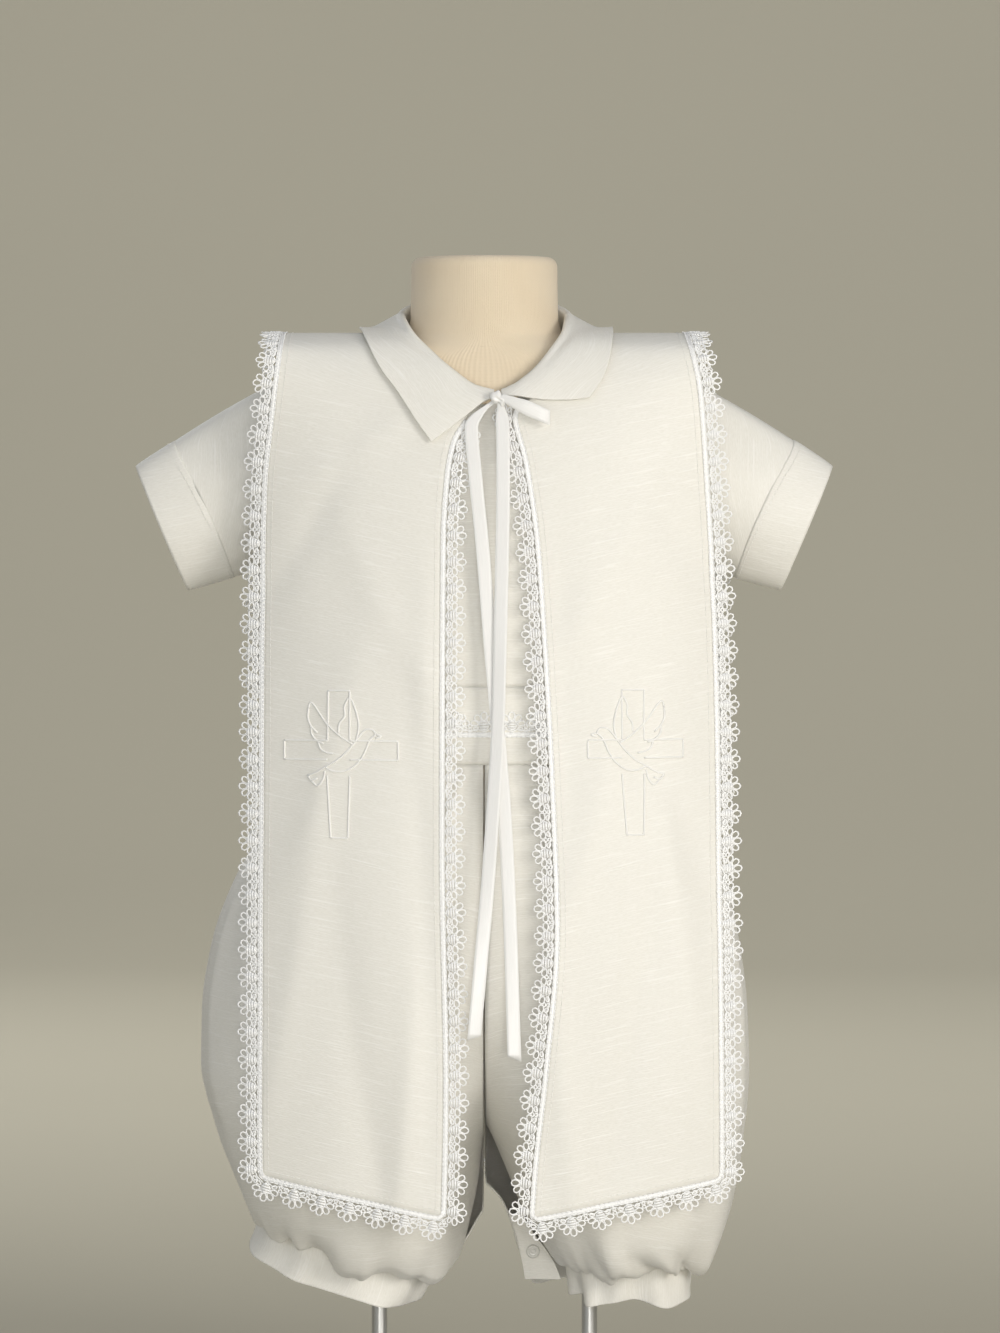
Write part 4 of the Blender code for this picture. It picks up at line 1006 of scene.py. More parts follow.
bodiceMaking = {
    "rows": 64, "neckRows": 41, "neckFoot": 540, "neckTop": 556, "columns": 56, "wall": 0.8, "foldScale": 1.3,
}
bodiceFolds = {
    # angle in degrees from the side, height, turn, half length, half width, bend, depth
    True: (
        (62, 500, 70, 40, 5, 4, -0.7), (118, 495, 112, 38, 5, -4, 0.6), (90, 455, 92, 50, 6, 3, 0.5),
        (70, 415, 80, 34, 5, 3, 0.6), (108, 412, 97, 34, 5, -3, 0.6), (40, 450, 60, 34, 6, 4, 0.6),
        (140, 452, 118, 34, 6, -4, 0.6),
    ),
    False: (
        (60, 505, 60, 42, 7, 5, 0.8), (122, 498, 121, 42, 7, -5, 0.8), (90, 460, 90, 55, 8, 4, -0.7),
        (65, 410, 84, 30, 6, 3, 0.7), (112, 408, 95, 30, 6, -3, 0.6), (36, 452, 58, 32, 6, 4, 0.6),
        (144, 455, 122, 32, 6, -4, 0.6),
    ),
}


def bodiceGrid(front):
    neckline = frontNeckline if front else backNeckline
    neckAt = curveThrough(neckline)
    neckFoot = bodiceMaking["neckFoot"]
    reach, tall = bodice["armholeReach"]
    half = bodiceMaking["columns"] // 2 + 1
    rows, angles = [], []
    heights = np.concatenate([
        np.linspace(bodice["foot"], neckFoot, bodiceMaking["rows"]),
        np.linspace(neckFoot, bodiceMaking["neckTop"], bodiceMaking["neckRows"])[1:],
    ])
    for height in heights:
        halfWidth, frontDepth, backDepth, squareness = formAt(height)
        ease = float(easeAt(height)[0])
        depth = (frontDepth if front else backDepth) + ease
        across = (height - bodice["armholeHeight"]) / tall
        start = (bodice["seam"] / 2 / depth) ** (squareness / 2)
        if abs(across) < 1:
            wide = reach * math.sqrt(1 - across * across)
            edge = wide - bodice["armholeDepth"] if front else wide + bodice["armholeDepth"]
            if edge > 0:
                start = max(start, math.asin(min(1.0, edge / depth) ** (squareness / 2)))
        end = math.pi / 2
        if height > neckline[0][0]:
            end = math.acos(min(1.0, float(neckAt(height)[0]) / (halfWidth + ease)) ** (squareness / 2))
        angle = np.linspace(start, max(end, start + 0.001), half)
        rows.append(bodyPoint(np.full(half, height), angle if front else -angle))
        angles.append(np.degrees(angle))
    return np.array(rows), np.array(angles), heights


for front in (True, False):
    right, angles, heights = bodiceGrid(front)
    scale = bodiceMaking["foldScale"]
    folds = [(angle * scale, *rest) for angle, *rest in bodiceFolds[front]]
    level = np.broadcast_to(heights[:, None], angles.shape)
    outward = towards(0, -1 if front else 1, 0)
    plus = creased(right, softFolds(angles * scale, level, folds), awayFrom(0, 0))
    mirroredLift = softFolds((180 - angles) * scale, level, folds)
    minus = creased(right * np.array([-1, 1, 1]), mirroredLift, awayFrom(0, 0))
    # both halves are one panel, joined at the middle below the neckline
    whole = np.concatenate([minus, plus[:, ::-1]], 1)
    neckRow = int(np.argmax(heights > (frontNeckline if front else backNeckline)[0][0]))
    name = "bodiceFront" if front else "bodiceBack"
    neckHole = np.zeros((whole.shape[0] - 1, whole.shape[1] - 1), bool)
    neckHole[neckRow - 1:, plus.shape[1] - 1] = True
    lower = clothPiece(name, whole, outward, bodiceMaking["wall"], leaveOut=neckHole)
    weldPiece(lower)
    settle(lower, "shantung", "romper_front" if front else "romper_back")
    asSheet(lower, (0.28, 0.18))
print("bodice made")

# waistband and its lace

waistband = {
    "bottom": 338.9, "top": 378.2, "rows": 24, "columns": 150, "wall": 0.8, "sideGap": 0.004,
    "lace": 353.5, "laceAngle": 0.12, "puff": 0.45, "ripple": 0.16, "standOff": 0.05,
}
for name, start in (("waistbandFront", 0.0), ("waistbandBack", math.pi)):
    gap = waistband["sideGap"]
    angles = np.linspace(start + gap, start + math.pi - gap, waistband["columns"])
    heights = np.linspace(waistband["bottom"], waistband["top"], waistband["rows"])
    grid = bodyPoint(heights[:, None], angles[None, :])
    edge = np.abs(heights - heights.mean()) / (heights.max() - heights.mean())
    puff = waistband["puff"] * (1 - edge ** 4)[:, None]
    wave = np.sin(angles * 31 + np.sin(angles * 7))[None, :]
    lift = puff + waistband["ripple"] * wave * (1 - edge ** 2)[:, None] + waistband["standOff"]
    band = clothPiece(name, creased(grid, lift, awayFrom(0, 0)), awayFrom(0, 0), waistband["wall"])
    settle(band, "shantung", "waistband_front" if start == 0 else "waistband_back")
    asSheet(band, (0.255, 0.037))

waistAngles = np.linspace(waistband["laceAngle"], math.pi - waistband["laceAngle"], 800)
waistLine = bodyPoint(waistband["lace"], waistAngles, 1.0)
waistRun = runAlong(waistLine)


def placeOnWaist(along, out, up, shift=0.0):
    return bodyPoint(waistband["lace"] + out, np.interp(along + shift, waistRun, waistAngles), 1.0 + up)


count = round(waistRun[-1] / scallop["pitch"])
centres = (np.arange(count) + 0.5) * waistRun[-1] / count
waistLace = joinParts("waistLace", laceParts(waistRun[-1], centres, placeOnWaist), laceThread)
settle(waistLace, "lace", "waist_lace")
print("waistband made")

# sleeves

sleeve = {
    "endTop": (178.5, 489.0), "endBottom": (152.0, 426.0), "endDepth": 19.0, "endMiddle": 1.0,
    "seam": (0.72, 0.10), "puff": 4.0, "rows": 48, "bandRows": 22, "columns": 112,
    "wall": 0.8, "bandWall": 1.3, "overlap": 0.012, "middle": (120, 1, 475), "bandMiddle": (152, 1, 462),
    "gather": (0.45, 46, 0.10),  # depth, count and share of the length
}
sleeveFolds = (
    # turn round the sleeve in degrees from its top, share of its length, half width, depth
    (20, 0.10, 13, 1.0), (-14, 0.10, 12, 0.9), (52, 0.30, 12, -0.8), (78, 0.55, 15, 0.8),
    (110, 0.25, 12, 0.7), (150, 0.40, 14, -0.9), (205, 0.45, 14, 0.8), (250, 0.35, 13, -0.8),
    (290, 0.50, 15, 0.9), (325, 0.25, 12, 0.7),
)


def sleevePoints(sign, share, turn):
    y = bodice["armholeDepth"] - bodice["armholeReach"][0] * np.sin(turn)
    z = bodice["armholeHeight"] + bodice["armholeReach"][1] * np.cos(turn)
    halfWidth, front, back, squareness = np.moveaxis(formAt(z), -1, 0)
    ease, rise = np.moveaxis(easeAt(z), -1, 0)
    depth = np.where(y < 0, front, back) + ease
    inner = (halfWidth + ease) * (1 - np.minimum(0.98, np.abs(y) / depth) ** squareness) ** (1 / squareness)
    armhole = np.stack([inner + 1.9, y, z + rise], -1)
    top, bottom = np.array(sleeve["endTop"]), np.array(sleeve["endBottom"])
    middle, reach = (top + bottom) / 2, (top - bottom) / 2
    c = np.cos(turn)
    end = np.stack([
        middle[0] + reach[0] * c,
        sleeve["endMiddle"] - sleeve["endDepth"] * np.sin(turn),
        middle[1] + reach[1] * c,
    ], -1)
    points = armhole * (1 - share[..., None]) + end * share[..., None]
    points[..., 2] += sleeve["puff"] * np.sin(math.pi * share) * np.maximum(0, c)
    points[..., 0] *= sign
    return points


turn = np.linspace(0, 2 * math.pi, sleeve["columns"], endpoint=False)
sleeveSeam = sleeve["seam"][0] + sleeve["seam"][1] * np.cos(turn)
for side, sign in sideSign.items():
    share = np.linspace(0, 1, sleeve["rows"])[:, None] * sleeveSeam[None, :]
    grid = sleevePoints(sign, share, np.broadcast_to(turn, share.shape))
    lift = np.zeros(share.shape)
    for k, (place, middle, wide, depth) in enumerate(sleeveFolds):
        place = place + (8 * math.sin(3 * k) if sign > 0 else 0)
        off = (np.degrees(turn)[None, :] - place + 14 * (share - 0.4) + 180) % 360 - 180
        lift += depth * np.exp(-np.abs(off / wide) ** 1.8) * np.exp(-((share - middle) / 0.34) ** 2)
    # the head of the sleeve is gathered into the armhole
    deep, gathers, reach = sleeve["gather"]
    head = np.exp(-(share / reach) ** 2) * np.maximum(0, np.cos(turn))[None, :]
    lift += deep * head * np.sin(turn * gathers + 1.4 * np.sin(5 * turn))[None, :]
    along = share / sleeveSeam[None, :]
    lift *= smoothSteps(along, 0.0, 0.03) * (1 - 0.75 * smoothSteps(along, 0.88, 1.0))
    outward = awayFrom(*(np.array(sleeve["middle"]) * (sign, 1, 1)))
    letter = side[0].upper()
    grid = creased(grid, lift, outward, True)
    upper = clothPiece(f"sleeve_{letter}", grid, outward, sleeve["wall"], ring=True)
    settle(upper, "shantung", f"sleeve_{side}")
    asSheet(upper, (0.26, 0.062))

    start = sleeveSeam[None, :] - sleeve["overlap"]
    share = start + (1 - start) * np.linspace(0, 1, sleeve["bandRows"])[:, None]
    grid = sleevePoints(sign, share, np.broadcast_to(turn, share.shape))
    local = (share - start) / (1 - start)
    lift = 0.35 * (1 - (2 * local - 1) ** 6) + 0.2 + 0.22 * np.sin(turn * 4 + 2.0 * local + sign)
    outward = awayFrom(*(np.array(sleeve["bandMiddle"]) * (sign, 1, 1)))
    grid = creased(grid, lift, outward, True)
    band = clothPiece(f"sleeveBand_{letter}", grid, outward, sleeve["bandWall"], ring=True, turnWeave=True)
    settle(band, "shantung", f"sleeve_band_{side}")
    asSheet(band, (0.155, 0.023))
print("sleeves made")

# trousers

legs = {
    "squareness": 2.2, "seam": 0.7, "waves": 5, "rows": 122, "columns": 108, "wall": 0.8,
    "lean": {"right": (0.30, 0.25), "left": (0.0, 0.10)},  # outwards and backwards
    "leanFrom": 200, "leanOver": 100, "lowRow": 8, "waveRows": 4.0, "middleOut": 62,
    "waveShares": (0.02, 0.045, 0.03),  # of the depth above and below, and of the width
    "gather": (0.5, 120, 1.1),  # at the waist: depth, count and reach in rows
    "pleat": (1.7, 38, 1.7, 0.64),  # at the cuff: depth, count, reach in rows and level
}
legRows = {
    # height, outer, front inner, back inner, centre, front depth, back depth
    "right": (
        (339.2, 88.5, -400, -400, 0, 70.5, 62.5),
        (322, 99, -380, -380, 8, 73, 66),
        (302, 114, -342, -342, 18, 76, 70),
        (276, 129, -240, -260, 30, 78, 73),
        (245, 140, -150, -190, 41, 79.5, 76),
        (212, 145, -80, -130, 51, 80.5, 77.5),
        (182, 145.5, -27, -80, 59, 80.5, 78),
        (164, 143, -6, -50, 63, 79.5, 78),
        (152, 140, 0.6, -32, 65, 78, 77),
        (135, 136, 3, -13, 66, 73.5, 74),
        (119, 130.5, 7, 1, 67, 67, 68.5),
        (106, 125, 11, 9, 68, 59, 60),
        (98, 121, 15, 15, 69, 51, 51.5),
        (94.5, 118.5, 19, 19, 70, 45, 45.5),
        (97.5, 116, 25, 25, 70.5, 38.6, 38.6),
    ),
    "left": (
        (339.2, 88.5, -400, -400, 0, 70.5, 62.5),
        (322, 97, -380, -380, 8, 73, 66),
        (302, 110, -342, -342, 18, 76, 70),
        (276, 123, -240, -260, 30, 78, 73),
        (245, 131, -150, -190, 41, 79.5, 76),
        (212, 135, -80, -130, 50, 80.5, 77.5),
        (182, 136, -27, -80, 57, 80.5, 78),
        (162, 135, -6, -50, 61, 79.5, 78),
        (150, 133.5, 2, -32, 63, 78, 77.5),
        (130, 131, 11, -10, 67, 74.5, 74.5),
        (110, 127, 19, 9, 71, 69, 70),
        (95, 121.5, 27, 14.5, 73, 62, 62),
        (86, 116, 33, 17, 74, 54, 52),
        (82.5, 111.5, 37, 19, 75, 46, 44),
        (85.5, 107.4, 41, 23, 75, 38.0, 36.4),
    ),
}
legAt = {side: curveByRow(rows) for side, rows in legRows.items()}
gatherFolds = {
    # share round the panel at the cuff, drift upwards, half width, depth, first row
    ("right", True): (
        (0.14, 0.02, 0.040, 2.4, 9.5), (0.27, -0.03, 0.040, -2.2, 8.5), (0.43, 0.06, 0.050, 2.6, 9.0),
        (0.57, 0.02, 0.026, -4.2, 10.6), (0.63, 0.03, 0.022, 2.6, 10.6), (0.68, 0.05, 0.020, -2.2, 10.8),
        (0.76, 0.02, 0.030, 2.2, 10.0), (0.88, -0.04, 0.045, 2.2, 9.0),
    ),
    ("left", True): (
        (0.12, 0.03, 0.040, 2.0, 9.5), (0.30, 0.05, 0.045, -2.0, 9.0), (0.47, -0.12, 0.026, -3.4, 9.6),
        (0.54, -0.13, 0.034, 2.8, 9.0), (0.66, -0.20, 0.026, -3.0, 10.0), (0.74, -0.22, 0.030, 2.8, 9.6),
        (0.83, -0.20, 0.024, -2.6, 10.4), (0.90, -0.10, 0.030, 2.0, 9.6),
    ),
    ("right", False): (
        (0.14, 0.02, 0.045, 2.2, 9.0), (0.31, -0.04, 0.050, -2.4, 9.0), (0.52, 0.03, 0.050, 2.4, 8.5),
        (0.70, 0.04, 0.040, -2.2, 9.5), (0.87, -0.03, 0.045, 2.0, 9.0),
    ),
    ("left", False): (
        (0.17, -0.02, 0.045, 2.2, 9.0), (0.36, 0.04, 0.050, -2.4, 9.0), (0.55, -0.03, 0.045, 2.2, 8.8),
        (0.71, 0.04, 0.040, -2.4, 9.5), (0.88, 0.03, 0.045, 2.2, 9.0),
    ),
}
legFolds = {
    # the long soft folds, front and back: share round the panel, row, turn, half length in rows,
    # half width in share, depth
    True: (
        (0.10, 3.0, 0.010, 3.6, 0.030, -0.9), (0.23, 5.0, -0.012, 3.4, 0.040, 1.3),
        (0.42, 4.2, 0.014, 3.8, 0.045, -1.2), (0.60, 6.0, -0.010, 3.6, 0.045, 1.4),
        (0.80, 4.6, 0.012, 3.8, 0.040, 1.2), (0.92, 6.4, -0.012, 3.0, 0.030, -1.0),
    ),
    False: (
        (0.12, 4.0, 0.012, 3.6, 0.035, 1.1), (0.30, 5.4, -0.014, 3.6, 0.045, -1.3),
        (0.50, 4.4, 0.010, 4.0, 0.045, 1.4), (0.68, 6.2, -0.012, 3.6, 0.045, -1.2),
        (0.85, 5.0, 0.012, 3.6, 0.040, 1.2),
    ),
}
legEdges = {
    # share round the panel, how far the puff's lower edge is drawn up there; below 0 it hangs over the cuff
    ("right", True): (
        (0, 3.0), (0.10, 2.0), (0.20, -2.5), (0.30, -0.5), (0.39, 2.5), (0.46, -2.0), (0.52, -4.5),
        (0.56, 0.0), (0.60, 3.5), (0.67, 2.5), (0.74, -1.0), (0.86, 1.0), (1, 1.0),
    ),
    ("right", False): (
        (0, 3.0), (0.15, -1.0), (0.30, 2.5), (0.48, -2.5), (0.62, 2.0), (0.80, -1.5), (1, 1.0),
    ),
    ("left", True): (
        (0, 3.5), (0.15, 2.0), (0.33, -1.5), (0.42, -4.5), (0.47, 0.5), (0.55, 2.5), (0.66, 3.0),
        (0.74, 1.0), (0.84, -3.0), (0.92, -1.0), (1, 1.0),
    ),
    ("left", False): (
        (0, 3.5), (0.18, -1.0), (0.34, 2.5), (0.52, -2.0), (0.70, 2.0), (0.86, -1.5), (1, 1.0),
    ),
}


def legGrid(side, front, rows, columns, fine=True):
    sign = sideSign[side]
    leanOut, leanBack = legs["lean"][side]
    last = len(legRows[side]) - 1
    halfSeam = legs["seam"] / 2
    power = 2 / legs["squareness"]
    grid = []
    for station in np.linspace(0, last, rows):
        height, outer, innerFront, innerBack, centre, frontDepth, backDepth = legAt[side](station)
        inner = innerFront if front else innerBack
        depth = frontDepth if front else backDepth
        reach = centre - inner
        cut = min(1.0, (centre - halfSeam) / reach) if centre > 2 * halfSeam else 0.0
        edge = (halfSeam / depth) ** (legs["squareness"] / 2)
        start = math.acos(max(0.0, cut)) if inner < halfSeam else edge
        share = np.linspace(0, 1, columns)
        angle = start + (math.pi - edge - start) * share
        c, s = np.cos(angle), np.abs(np.sin(angle))
        x = np.where(c > 0, centre - reach * np.abs(c), centre + (outer - centre) * np.abs(c) ** power)
        x = np.maximum(x, halfSeam)
        y = depth * s ** power
        topFade = max(0.0, 1 - station / legs["waveRows"]) * min(1.0, station)
        lowFade = float(np.clip((station - legs["lowRow"]) / legs["waveRows"], 0, 1))
        lowFade *= 0.35 if station > last - 0.5 else 1.0
        wave = np.sin(2 * math.pi * legs["waves"] * share)
        keep = 0.45 if fine and station < last - 0.5 else 1.0
        above, below, aside = legs["waveShares"]
        y = y * (1 + (above * topFade + below * lowFade * keep) * wave)
        if station > legs["lowRow"]:
            x = centre + (x - centre) * (1 + aside * lowFade * keep * wave)
        y = -y if front else y
        blend = float(np.clip((legs["leanFrom"] - height) / legs["leanOver"], 0, 1)) ** 1.5
        z = height + blend * (leanOut * (x - centre) + leanBack * y)
        grid.append(np.stack([sign * x, y, z], -1))
    return np.array(grid)


def legLift(side, front, rows, columns):
    last = len(legRows[side]) - 1
    station = np.linspace(0, last, rows)[:, None]
    share = np.linspace(0, 1, columns)[None, :]
    lift = np.zeros((rows, columns))
    for place, drift, width, depth, first in gatherFolds[(side, front)]:
        up = (last - station) / (last - first)
        off = share - place - drift * up
        fold = np.exp(-np.abs(off / (width * (0.7 + 0.9 * up))) ** 1.7)
        lift += depth * fold * smoothSteps(1 - up, 0.0, 0.75)
    for place, row, drift, length, width, depth in legFolds[front]:
        place = place + (0.03 if side == "left" else 0.0)
        off = share - place - drift * (station - row)
        lift += depth * np.exp(-np.abs(off / width) ** 1.8) * np.exp(-np.abs((station - row) / length) ** 3)
    # small gathers where the cloth is drawn into the waistband and the cuff
    deep, count, reach = legs["gather"]
    lift += deep * np.exp(-(station / reach) ** 2) * np.sin(share * count + 2 * np.sin(share * 23))
    deep, count, reach, level = legs["pleat"]
    pleats = np.abs(np.sin(share * count + 1.2 * np.sin(share * 17 + sideSign[side]))) - level
    near = np.exp(-np.abs((last - 0.9 - station) / reach) ** 2)
    lift += deep * (0.65 + 0.35 * np.sin(share * 29)) * near * pleats
    sides = smoothSteps(share, 0, 0.03) * smoothSteps(1 - share, 0, 0.03)
    return lift * sides * smoothSteps(last - station, 0.0, 1.2) * smoothSteps(station, 0.0, 0.4)


for side, sign in sideSign.items():
    for front in (True, False):
        grid = legGrid(side, front, legs["rows"], legs["columns"])
        outward = awayFrom(sign * legs["middleOut"], 0)
        grid = creased(grid, legLift(side, front, legs["rows"], legs["columns"]), outward)
        station = np.linspace(0, len(legRows[side]) - 1, legs["rows"])
        held = smoothSteps(station, 8.5, 12.2) * smoothSteps(station[-1] - station, 0, 0.9)
        edge = curveThrough(legEdges[(side, front)])(np.linspace(0, 1, legs["columns"]))[:, 0]
        grid[..., 2] += held[:, None] * edge[None, :]
        name = f"leg{'Front' if front else 'Back'}_{side}"
        panel = clothPiece(name, grid, outward, legs["wall"])
        settle(panel, "shantung", f"leg_{'front' if front else 'back'}_{side}")
        asSheet(panel, (0.24, 0.29))
print("trousers made")

# leg cuffs: the left one is open inside the leg

cuff = {
    "flare": {"right": (0.4, -5.5), "left": (-0.8, 0.0)}, "drop": (-3.0, 19.5), "corner": 7.0,
    "rows": 34, "ringSteps": (15, 90), "wall": 1.2, "inset": (-0.4, 0.6), "hug": 1.2,
    "fold": (1.6, 4), "soft": (0.5, 9),  # depth and count of the wide and of the soft waves
}
cuffFolds = {
    # distance from the middle plane, half width, how far it stands out at the foot, how much lower it hangs
    "right": ((48, 7, 1.6, 1.5), (66, 9, -1.8, -0.5), (92, 9, 1.6, 0.5)),
    "left": (
        (41, 4, 2.6, 0.5), (46.5, 3.5, -3.2, -2.5), (53, 5, 3.0, 2.0), (76, 11, -2.6, -3.0),
        (94, 8, 3.0, 2.5),
    ),
}
for side, (flare, shift) in cuff["flare"].items():
    closed = side == "right"
    frontRing = legGrid(side, True, *cuff["ringSteps"], fine=False)[-1]
    backRing = legGrid(side, False, *cuff["ringSteps"], fine=False)[-1]
    path = np.concatenate([backRing[:-1], frontRing[::-1][:-1] if closed else frontRing[::-1]])
    middle = path.mean(0)
    out = unit((path - middle) * np.array([1, 1, 0]))
    turn = np.linspace(0, 1, len(path))[:, None]
    start, foot = cuff["drop"]
    rows = []
    for drop in np.linspace(start, foot, cuff["rows"]):
        below = max(0.0, drop) / foot
        low = below ** 2
        inset = cuff["inset"][0] + cuff["inset"][1] * (drop - start) / (foot - start)
        deep, count = cuff["fold"]
        fold = deep * low * np.sin(2 * math.pi * count * turn)
        deep, count = cuff["soft"]
        wave = np.sin(2 * math.pi * count * turn + 2 * np.sin(count * turn))
        stand = flare * low - inset - cuff["hug"] + fold + deep * math.sin(below * math.pi) * wave
        points = path + out * stand + np.array([shift * low, 0, -drop])
        for place, wide, proud, hang in cuffFolds[side]:
            bump = np.exp(-((np.abs(path[:, :1]) - place) / wide) ** 2) * smoothSteps(-path[:, 1:2], 0, 15)
            points = points + bump * (out * proud * (0.2 + 0.8 * low) - np.array([0, 0, hang * low]))
        if not closed:
            # the open end's lower corner is rounded off
            points[:, 2] += cuff["corner"] * low * np.exp(-((turn[:, 0] / 0.03) ** 2))
        rows.append(points)
    outward = awayFrom(middle[0], middle[1])
    piece = clothPiece(f"legCuff_{side}", np.array(rows), outward, cuff["wall"], ring=closed, turnWeave=True)
    settle(piece, "shantung", f"leg_cuff_{side}")
    asSheet(piece, (0.25, 0.0225))
print("cuffs made")

# collar

collarRows = {
    # place on the neckline, top of the fold as across, depth, height, free edge as across and tabard row
    "right": (
        (-0.026, 5.0, -52.0, 527.6, -26.5, 8.35),
        (0.021, -4.0, -51.5, 530.0, -34.5, 8.78),
        (0.089, -16.5, -49.5, 538.5, -43.0, 9.35),
        (0.171, -27.5, -42.5, 548.0, -53.0, 10.05),
        (0.307, -38.0, -30.0, 559.0, -60.5, 11.2),
        (0.50, -42.6, -2.0, 568.0, -64.0, 13.1),
        (0.70, -37.5, 25.0, 573.0, -59.5, 14.7),
        (0.85, -22.5, 40.0, 575.0, -36.0, 15.95),
        (1.00, 0.5, 45.5, 576.0, 0.5, 16.35),
    ),
    "left": (
        (0.043, 8.5, -52.0, 527.6, 53.0, 9.25),
        (0.079, 15.0, -52.5, 530.5, 57.0, 9.5),
        (0.147, 24.5, -50.0, 537.5, 61.0, 9.85),
        (0.227, 34.0, -42.0, 548.5, 64.0, 10.5),
        (0.318, 41.4, -26.0, 559.8, 65.5, 11.6),
        (0.50, 43.1, -2.0, 567.5, 65.0, 13.2),
        (0.70, 38.5, 25.0, 572.5, 60.5, 14.7),
        (0.85, 24.0, 40.0, 575.0, 38.0, 15.95),
        (1.00, 0.5, 45.5, 576.0, 0.5, 16.35),
    ),
}
collar = {
    # out and down from the fold's top
    "roll": ((-2.4, 2.6), (-2.1, 0.9), (-0.9, 0.0), (0.9, 0.5), (2.6, 2.3)),
    "stand": 3.1, "sag": {"right": 4.0, "left": 12.0}, "stations": 70, "across": 40, "wall": 1.1,
    "fallRows": (7, 19), "fallSteps": 500,
}


def necklinePoint(sign, share):
    if share < 0:
        sign, share = -sign, -share
    front = share <= 0.5
    table = frontNeckline if front else backNeckline
    along = share * 2 if front else (1 - share) * 2
    height, half = curveByRow(table)(along * (len(table) - 1))
    halfWidth, _, _, squareness = formAt(height)
    ease = float(easeAt(height)[0])
    angle = math.acos(min(1.0, float(half) / (halfWidth + ease)) ** (squareness / 2))
    return bodyPoint(float(height), angle if front else -angle) * np.array([sign, 1, 1])


fallLengths = np.linspace(*np.interp(collar["fallRows"], sideRows, sideLength), collar["fallSteps"])


def offTabard(point, gap):
    # the point, moved out to stand at least this far off the tabard
    surface = drapePoint(point[0], fallLengths)
    nearest = int(np.argmin(np.linalg.norm(surface - point, axis=1)))
    k = min(max(nearest, 1), len(surface) - 2)
    along = surface[k + 1] - surface[k - 1]
    normal = unit(np.array([0.0, -along[2], along[1]]))
    return point + normal * max(0.0, gap - float((point - surface[nearest]) @ normal))


def collarSection(sign, share, fold, edge, sag):
    # from the foot on the neckline over the fold to the free edge
    up = np.array([0.0, 0.0, 1.0])
    out = unit(np.array([fold[0] - 0.5, fold[1], 0.0]))
    section = [necklinePoint(sign, share) + 2.3 * up - 0.8 * out]
    for aside, down in collar["roll"]:
        section.append(fold + aside * out - down * up)
    start = section[-1]
    for t in (0.2, 0.4, 0.6, 0.8, 1.0):
        bow = up * (1.6 - sag) * t * (1 - t)
        section.append(offTabard(start + (edge - start) * t + bow, collar["stand"]))
    return np.array(section)


def collarGrid():
    columns = []
    for side in ("right", "left"):
        at = curveByRow(collarRows[side])
        stations = np.linspace(0, 8, collar["stations"])
        if side == "left":
            stations = stations[-2::-1]
        for station in stations:
            share, x, y, z, edgeX, edgeRow = at(station)
            edge = drapePoint(edgeX, np.interp(edgeRow, sideRows, sideLength))
            sag = collar["sag"][side] * max(0.0, 1 - station / 2.2) ** 2
            columns.append(collarSection(sideSign[side], share, np.array([x, y, z]), edge, sag))
    coarse = np.array(columns)
    # even spacing across each section
    fine = []
    for section in coarse:
        run = runAlong(section)
        smooth = curveThrough(np.column_stack([run, section]))
        fine.append(smooth(np.linspace(0, run[-1], collar["across"])))
    return np.array(fine).transpose(1, 0, 2)


collarMesh = collarGrid()
fallShare = np.linspace(0, 1, collar["across"])[:, None]
around = np.linspace(0, 1, collarMesh.shape[1])[None, :]
# the fall is pressed but not quite flat, and its edge rolls a little to the outside
ripple = 0.35 * smoothSteps(fallShare, 0.4, 0.7) * np.sin(around * 17 + 1.2 * np.sin(around * 9))
collarLift = ripple + 0.25 * smoothSteps(fallShare, 0.93, 1.0)
outward = awayFrom(0, 0, 480.0)
collarPiece = clothPiece("foldedCollar", creased(collarMesh, collarLift, outward), outward, collar["wall"])
roundEdges(collarPiece, 0.4, 2, 55)
settle(collarPiece, "shantung", "collar")
asSheet(collarPiece, (0.37, 0.058))
print("collar made")

# ribbon: two tails, a knot and a loop

ribbon = {"width": 6.8, "thick": 0.3, "tailOut": {"right": 2.6, "left": 4.8}}
tailRows = {
    # height, distance of the ribbon's middle to the wearer's left
    "right": (
        (522.0, 6.0), (518.5, 1.0), (514.5, -3.4), (509, -6.4), (486, -4.6), (446, -0.6), (400, 3.2),
        (359, 6.8), (320, 9.8), (280, 12), (240, 13.8), (193.5, 15.4),
    ),
    "left": (
        (522.0, 8.0), (516, 8.8), (509, 9.4), (480, 9.6), (440, 9.0), (400, 8), (359, 6.8),
        (320, 4.6), (280, 2), (240, -1.6), (204, -5),
    ),
}


def ribbonStrip(name, path, aside, width, thick, narrow, cut=0.0):
    # a flat ribbon with rounded edges, narrowed by a share at each place; U runs along it, V across
    aside = unit(aside)
    tangent = unit(np.gradient(path, axis=0))
    face = unit(np.cross(tangent, aside))
    across = np.array([-1, -0.94, -0.6, -0.2, 0.2, 0.6, 0.94, 1]) * width / 2
    belly = 0.10 * (1 - (across / (width / 2)) ** 2)
    half = np.array([0.25, 1, 1, 1, 1, 1, 1, 0.25]) * thick / 2
    ringAcross = np.concatenate([across, across[::-1]])
    ringUp = np.concatenate([belly + half, (belly - half)[::-1]])
    slant = np.zeros((len(path), 1))
    slant[-1] = cut
    spread = narrow[:, None] * ringAcross[None, :]
    rings = (path[:, None] + aside[:, None] * spread[..., None] + face[:, None] * ringUp[None, :, None]
             + tangent[:, None] * (slant * ringAcross[None, :] / (width / 2))[..., None])
    points, faces, _ = tubeParts(rings)
    run = runAlong(path) * mm
    count = len(ringAcross)
    weave = [(run[v // count], ringAcross[v % count] * mm) for face in faces for v in face]
    return buildMesh(name, points, faces, weave, satin)


def nearTabardFront(x, z, out):
    # straight in front of the tabard's plain side view
    return np.stack([x, np.interp(frontLength(z), sideLength, sideLine[:, 0]) - out, z], -1)


